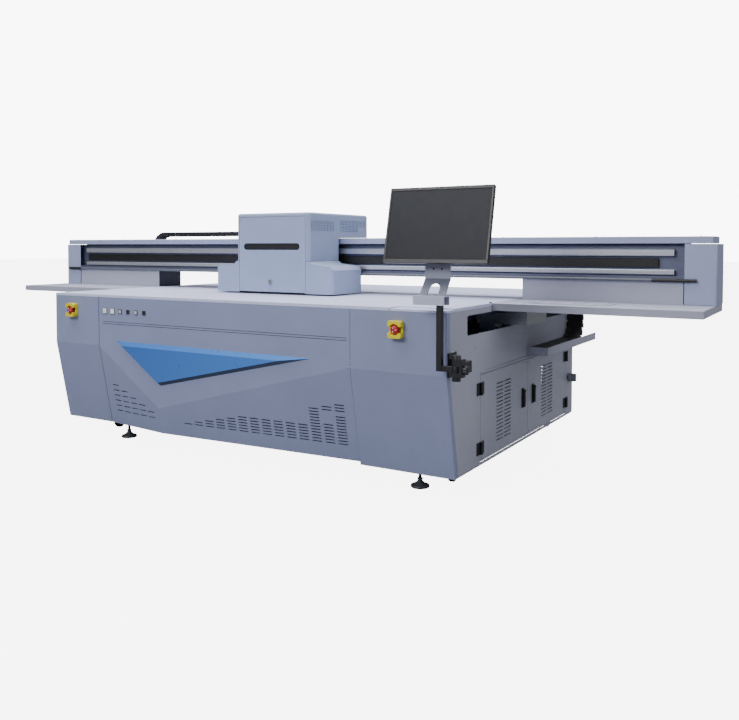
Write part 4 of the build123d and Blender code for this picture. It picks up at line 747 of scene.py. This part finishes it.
# ------------------------------------------------------------------ gantry and carriage
def make_gantry_details():
    def crash_finish(centre, normal):
        return 1 if centre.x > 1.984 or centre.x < -2.109 else 0

    reworked("crash_bar", "gantry", [bar_grey, track_black], 0.0, crash_finish)

    def tray_finish(centre, normal):
        # The tray's inside end wall is coloured dark as painted shade
        shaded_inside = 0.86 < centre.z < 0.97 and -1.326 < centre.x < -1.3245
        return 1 if shaded_inside else 0

    reworked("gantry_trays", "gantry", [side_paint, painted_shade_and_stop_dark], 0.001, tray_finish)
    reworked("gantry_covers", "gantry", [gantry_paint], 0.001)

    bm = bmesh.new()
    for index in range(RAIL_BOLT_COUNT):
        x = RAIL_BOLT_END * (2 * index / (RAIL_BOLT_COUNT - 1) - 1)
        for z in RAIL_BOLT_HEIGHTS:
            add_turned(bm, ((0.0, -0.0005), (0.0038, -0.0005), (0.0046, 0.0004), (0.0046, -0.001)),
                       (x, RAIL_FACE, z), (0, -1, 0), 8)
    finish_piece("rail_bolts", bm, "gantry", [track_black])

    bm = bmesh.new()
    for x in (-2.2, -1.7, -1.2, 1.2, 1.7, 2.2):
        for y in (-0.02, 0.12):
            add_screw(bm, (x, y, 1.187), (0, 0, 1), PANEL_SCREW)
    for x in (-2.2, -1.45, 1.45, 2.2):
        for y in (-0.39, -0.1, 0.13):
            add_screw(bm, (x, y, 0.859), (0, 0, 1), TRAY_SCREW)
    finish_piece("gantry_screws", bm, "gantry", [zinc_steel])


def make_carriage_details():
    def hatch_finish(centre, normal):
        if centre.y > CARRIAGE_FRONT + 0.0029 and 1.10 < centre.z < 1.17 and -0.31 < centre.x < 0.14:
            return 1
        near_slot = -0.290 < centre.x < 0.118 and 1.117 < centre.z < 1.157
        if near_slot and CARRIAGE_FRONT + 0.0002 < centre.y < CARRIAGE_FRONT + 0.0029:
            return 1
        if centre.y < CARRIAGE_FRONT - 0.0001 and centre.z < 0.96:
            return 2
        return 0

    reworked("service_hatch", "carriage", [carriage_paint, track_black, zinc_steel],
             0.0006, hatch_finish)
    bm = bmesh.new()
    for x in (-0.312, 0.145):
        for z in (0.895, 1.085, 1.295):
            add_screw(bm, (x, CARRIAGE_FRONT, z), (0, -1, 0), CARRIAGE_SCREW)
    add_turned(bm, ((0.0, 0.006), (0.011, 0.006), (0.0148, 0.0045), (0.0158, 0.0), (0.0158, -0.001)),
               (-0.094, CARRIAGE_FRONT - 0.0002, 0.931), (0, -1, 0), 28)
    for y in (-0.34, -0.24, -0.14):
        for side_x, direction in ((SHOULDER_RIGHT, 1), (SHOULDER_LEFT, -1)):
            add_screw(bm, (side_x, y, 0.985), (direction, 0, 0), CARRIAGE_SCREW)
    for y in (-0.3, 0.1):
        for side_x, direction in ((COVER_RIGHT, 1), (COVER_LEFT, -1)):
            add_screw(bm, (side_x, y, 1.305), (direction, 0, 0), CARRIAGE_SCREW)
    finish_piece("carriage_screws", bm, "carriage", [zinc_steel])

    bm = bmesh.new()
    # Painted shadow: dark strips along the gap under the carriage's lower edge
    for x0, x1 in ((-0.492, -0.328), (0.161, 0.328)):
        add_block(bm, (x0, CARRIAGE_FRONT + 0.0005, 0.8682), (x1, CARRIAGE_FRONT + 0.003, 0.8700), 0.0004)
    finish_piece("carriage_lower_edge_painted_shadow", bm, "carriage", [painted_shade_and_stop_dark])
    reworked("carriage_frame", "carriage", [beam_metal], 0.0008)


# ------------------------------------------------------------------ operator screen
def make_screen():
    """The operator screen: a shell with a raised rim, vents and hinge barrels, and its glass."""
    lean = Matrix.Translation(SCREEN_FOOT) @ Matrix.Rotation(-SCREEN_LEAN, 4, "X")
    left, right, top = SCREEN_LEFT, SCREEN_RIGHT, SCREEN_HEIGHT
    bm = bmesh.new()
    add_block(bm, (left, 0.0035, 0.0), (right, 0.022, top), 0.005, 0, lean, 3)
    for low, high in (((left, 0.0), (right, 0.017)), ((left, top - 0.015), (right, top)),
                      ((left, 0.016), (left + 0.011, top - 0.014)),
                      ((right - 0.011, 0.016), (right, top - 0.014))):
        add_block(bm, (low[0], 0.0, low[1]), (high[0], 0.008, high[1]), 0.0016, 0, lean, 2)
    add_block(bm, (left + 0.05, 0.020, 0.035), (right - 0.05, 0.045, top - 0.06), 0.007, 0, lean, 3)
    for row in range(8):
        z = 0.20 + row * 0.009
        add_block(bm, (left + 0.11, 0.0445, z), (right - 0.11, 0.0454, z + 0.0035), 0.0003, 1, lean)
    add_block(bm, (left + 0.16, 0.0440, 0.050), (right - 0.16, 0.0456, 0.075), 0.001, 1, lean)
    middle = 1.2525
    for side in (-1, 1):
        near, far = middle + side * 0.0405, middle + side * 0.054
        x0, x1 = min(near, far), max(near, far)
        add_turned(bm, ((0.0031, 0.0), (0.0062, 0.0), (0.007, 0.001), (0.007, x1 - x0 - 0.001),
                        (0.0062, x1 - x0), (0.0031, x1 - x0), (0.0031, 0.0)),
                   (x0, -0.917, 1.118), (1, 0, 0), 24)
        add_block(bm, (x0, 0.042, 0.047), (x1, 0.055, 0.061), 0.001, 0, lean)
    shell = finish_piece("screen_shell", bm, "screen", [screen_shell, track_black])
    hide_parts("monitor")
    bm = bmesh.new()
    add_block(bm, (left + 0.010, 0.0026, 0.016), (right - 0.010, 0.0045, top - 0.014), 0.0004, 0, lean)
    finish_piece("screen_glass_pane", bm, "screen", [dark_screen])


def make_stand():
    """The screen's stand, in three paints by height, and its screws."""
    def stand_finish(centre, normal):
        if centre.z < 0.9245:
            return 2
        return 1 if centre.z > 0.996 else 0

    reworked("monitor_stand", "screen_arm", [stand_paint, plate_paint, cap_paint],
             0.0008, stand_finish)
    bm = bmesh.new()
    for x in (1.233, 1.273):
        add_screw(bm, (x, -0.919, 1.040), (0, -1, 0), STAND_SCREW)
        add_screw(bm, (x, -0.955, 0.924), (0, 0, 1), CARRIAGE_SCREW)
    finish_piece("stand_screws", bm, "screen_arm", [black_steel])


def make_fittings():
    """Copies of the small CAD fittings with their edges broken."""
    reworked("post_arm", "screen_arm", [black_steel], 0.001)
    reworked("clamp_bracket", "cabinet", [black_steel], 0.0012)
    reworked("main_switch", "power_switch", [switch_grey], 0.0012)
    for node, body, slot in (
        ("door_front_fittings", "front_door", "black_steel"),
        ("door_rear_fittings", "rear_door", "black_steel"),
        ("door_hinge_leaves", "cabinet", "black_steel"),
        ("clamp_knob", "knob", "dark_plastic"),
    ):
        reworked(node, body, [black_steel if slot == "black_steel" else plastic_dark], 0.0007)


make_chains()
make_estops()
make_controls()
make_trim()
make_panel_screws()
make_door_details()
make_edge_details()
make_bottle_caps()
make_feet()
make_wheels()
make_gantry_details()
make_carriage_details()
make_screen()
make_stand()
make_fittings()


# ------------------------------------------------------------------ floor, light and camera
def camera_rays(tree):
    """1 for rays straight from the camera and 0 for all others."""
    return tree.nodes.new("ShaderNodeLightPath").outputs["Is Camera Ray"]


def make_floor():
    """A pale floor that the camera sees brighter than it lights the machine."""
    mesh = bpy.data.meshes.new("studio_floor")
    bm = bmesh.new()
    bmesh.ops.create_grid(bm, x_segments=1, y_segments=1, size=60.0)
    bm.to_mesh(mesh)
    bm.free()
    floor = add_object("studio_floor", mesh)
    finish, tree, shader, place = new_finish("studio_floor_paint")
    shader.inputs["Base Color"].default_value = (0.20, 0.21, 0.23, 1.0)
    shader.inputs["Roughness"].default_value = 0.16
    shader.inputs["Emission Color"].default_value = (1.0, 1.0, 1.0, 1.0)
    glow = arithmetic(tree, "MULTIPLY", camera_rays(tree), FLOOR_GLOW)
    tree.links.new(glow, shader.inputs["Emission Strength"])
    mesh.materials.append(finish)


def area_light(name, place, target, size, power):
    """A white softbox that points at a target."""
    data = bpy.data.lights.new(name, "AREA")
    data.shape = "RECTANGLE"
    data.size, data.size_y = size
    data.energy = power
    lamp = bpy.data.objects.new(name, data)
    lamp.location = place
    lamp.rotation_mode = "QUATERNION"
    lamp.rotation_quaternion = (Vector(target) - Vector(place)).to_track_quat("-Z", "Y")
    bpy.context.collection.objects.link(lamp)


def make_light():
    """A studio room, seen brighter than it lights, and three softboxes."""
    world = bpy.data.worlds.new("studio")
    world.use_nodes = True
    tree = world.node_tree
    tree.nodes["Background"].inputs["Color"].default_value = (1.0, 1.0, 1.0, 1.0)
    strength = spread(tree, camera_rays(tree), AMBIENT, BACKDROP)
    tree.links.new(strength, tree.nodes["Background"].inputs["Strength"])
    bpy.context.scene.world = world
    area_light("top_softbox", (-0.3, 0.3, 5.0), (0.0, 0.0, 0.8), (7.0, 5.0), 620.0)
    area_light("front_softbox", (-0.8, -7.0, 4.4), (0.2, -0.5, 0.7), (4.5, 2.5), 370.0)
    area_light("right_softbox", (6.5, -1.5, 2.6), (1.3, 0.0, 0.5), (3.0, 2.5), 90.0)


def make_camera():
    turn, down = math.radians(30.96), math.radians(2.0)
    look = Vector((-math.sin(turn) * math.cos(down), math.cos(turn) * math.cos(down), -math.sin(down)))
    data = bpy.data.cameras.new("camera")
    data.lens = 39.34
    data.sensor_width = 36.0
    data.shift_y = -0.116
    camera = bpy.data.objects.new("camera", data)
    camera.location = (2.824, -4.123, 1.14)
    camera.rotation_mode = "QUATERNION"
    camera.rotation_quaternion = look.to_track_quat("-Z", "Y")
    bpy.context.collection.objects.link(camera)
    bpy.context.scene.camera = camera


make_floor()
make_light()
make_camera()
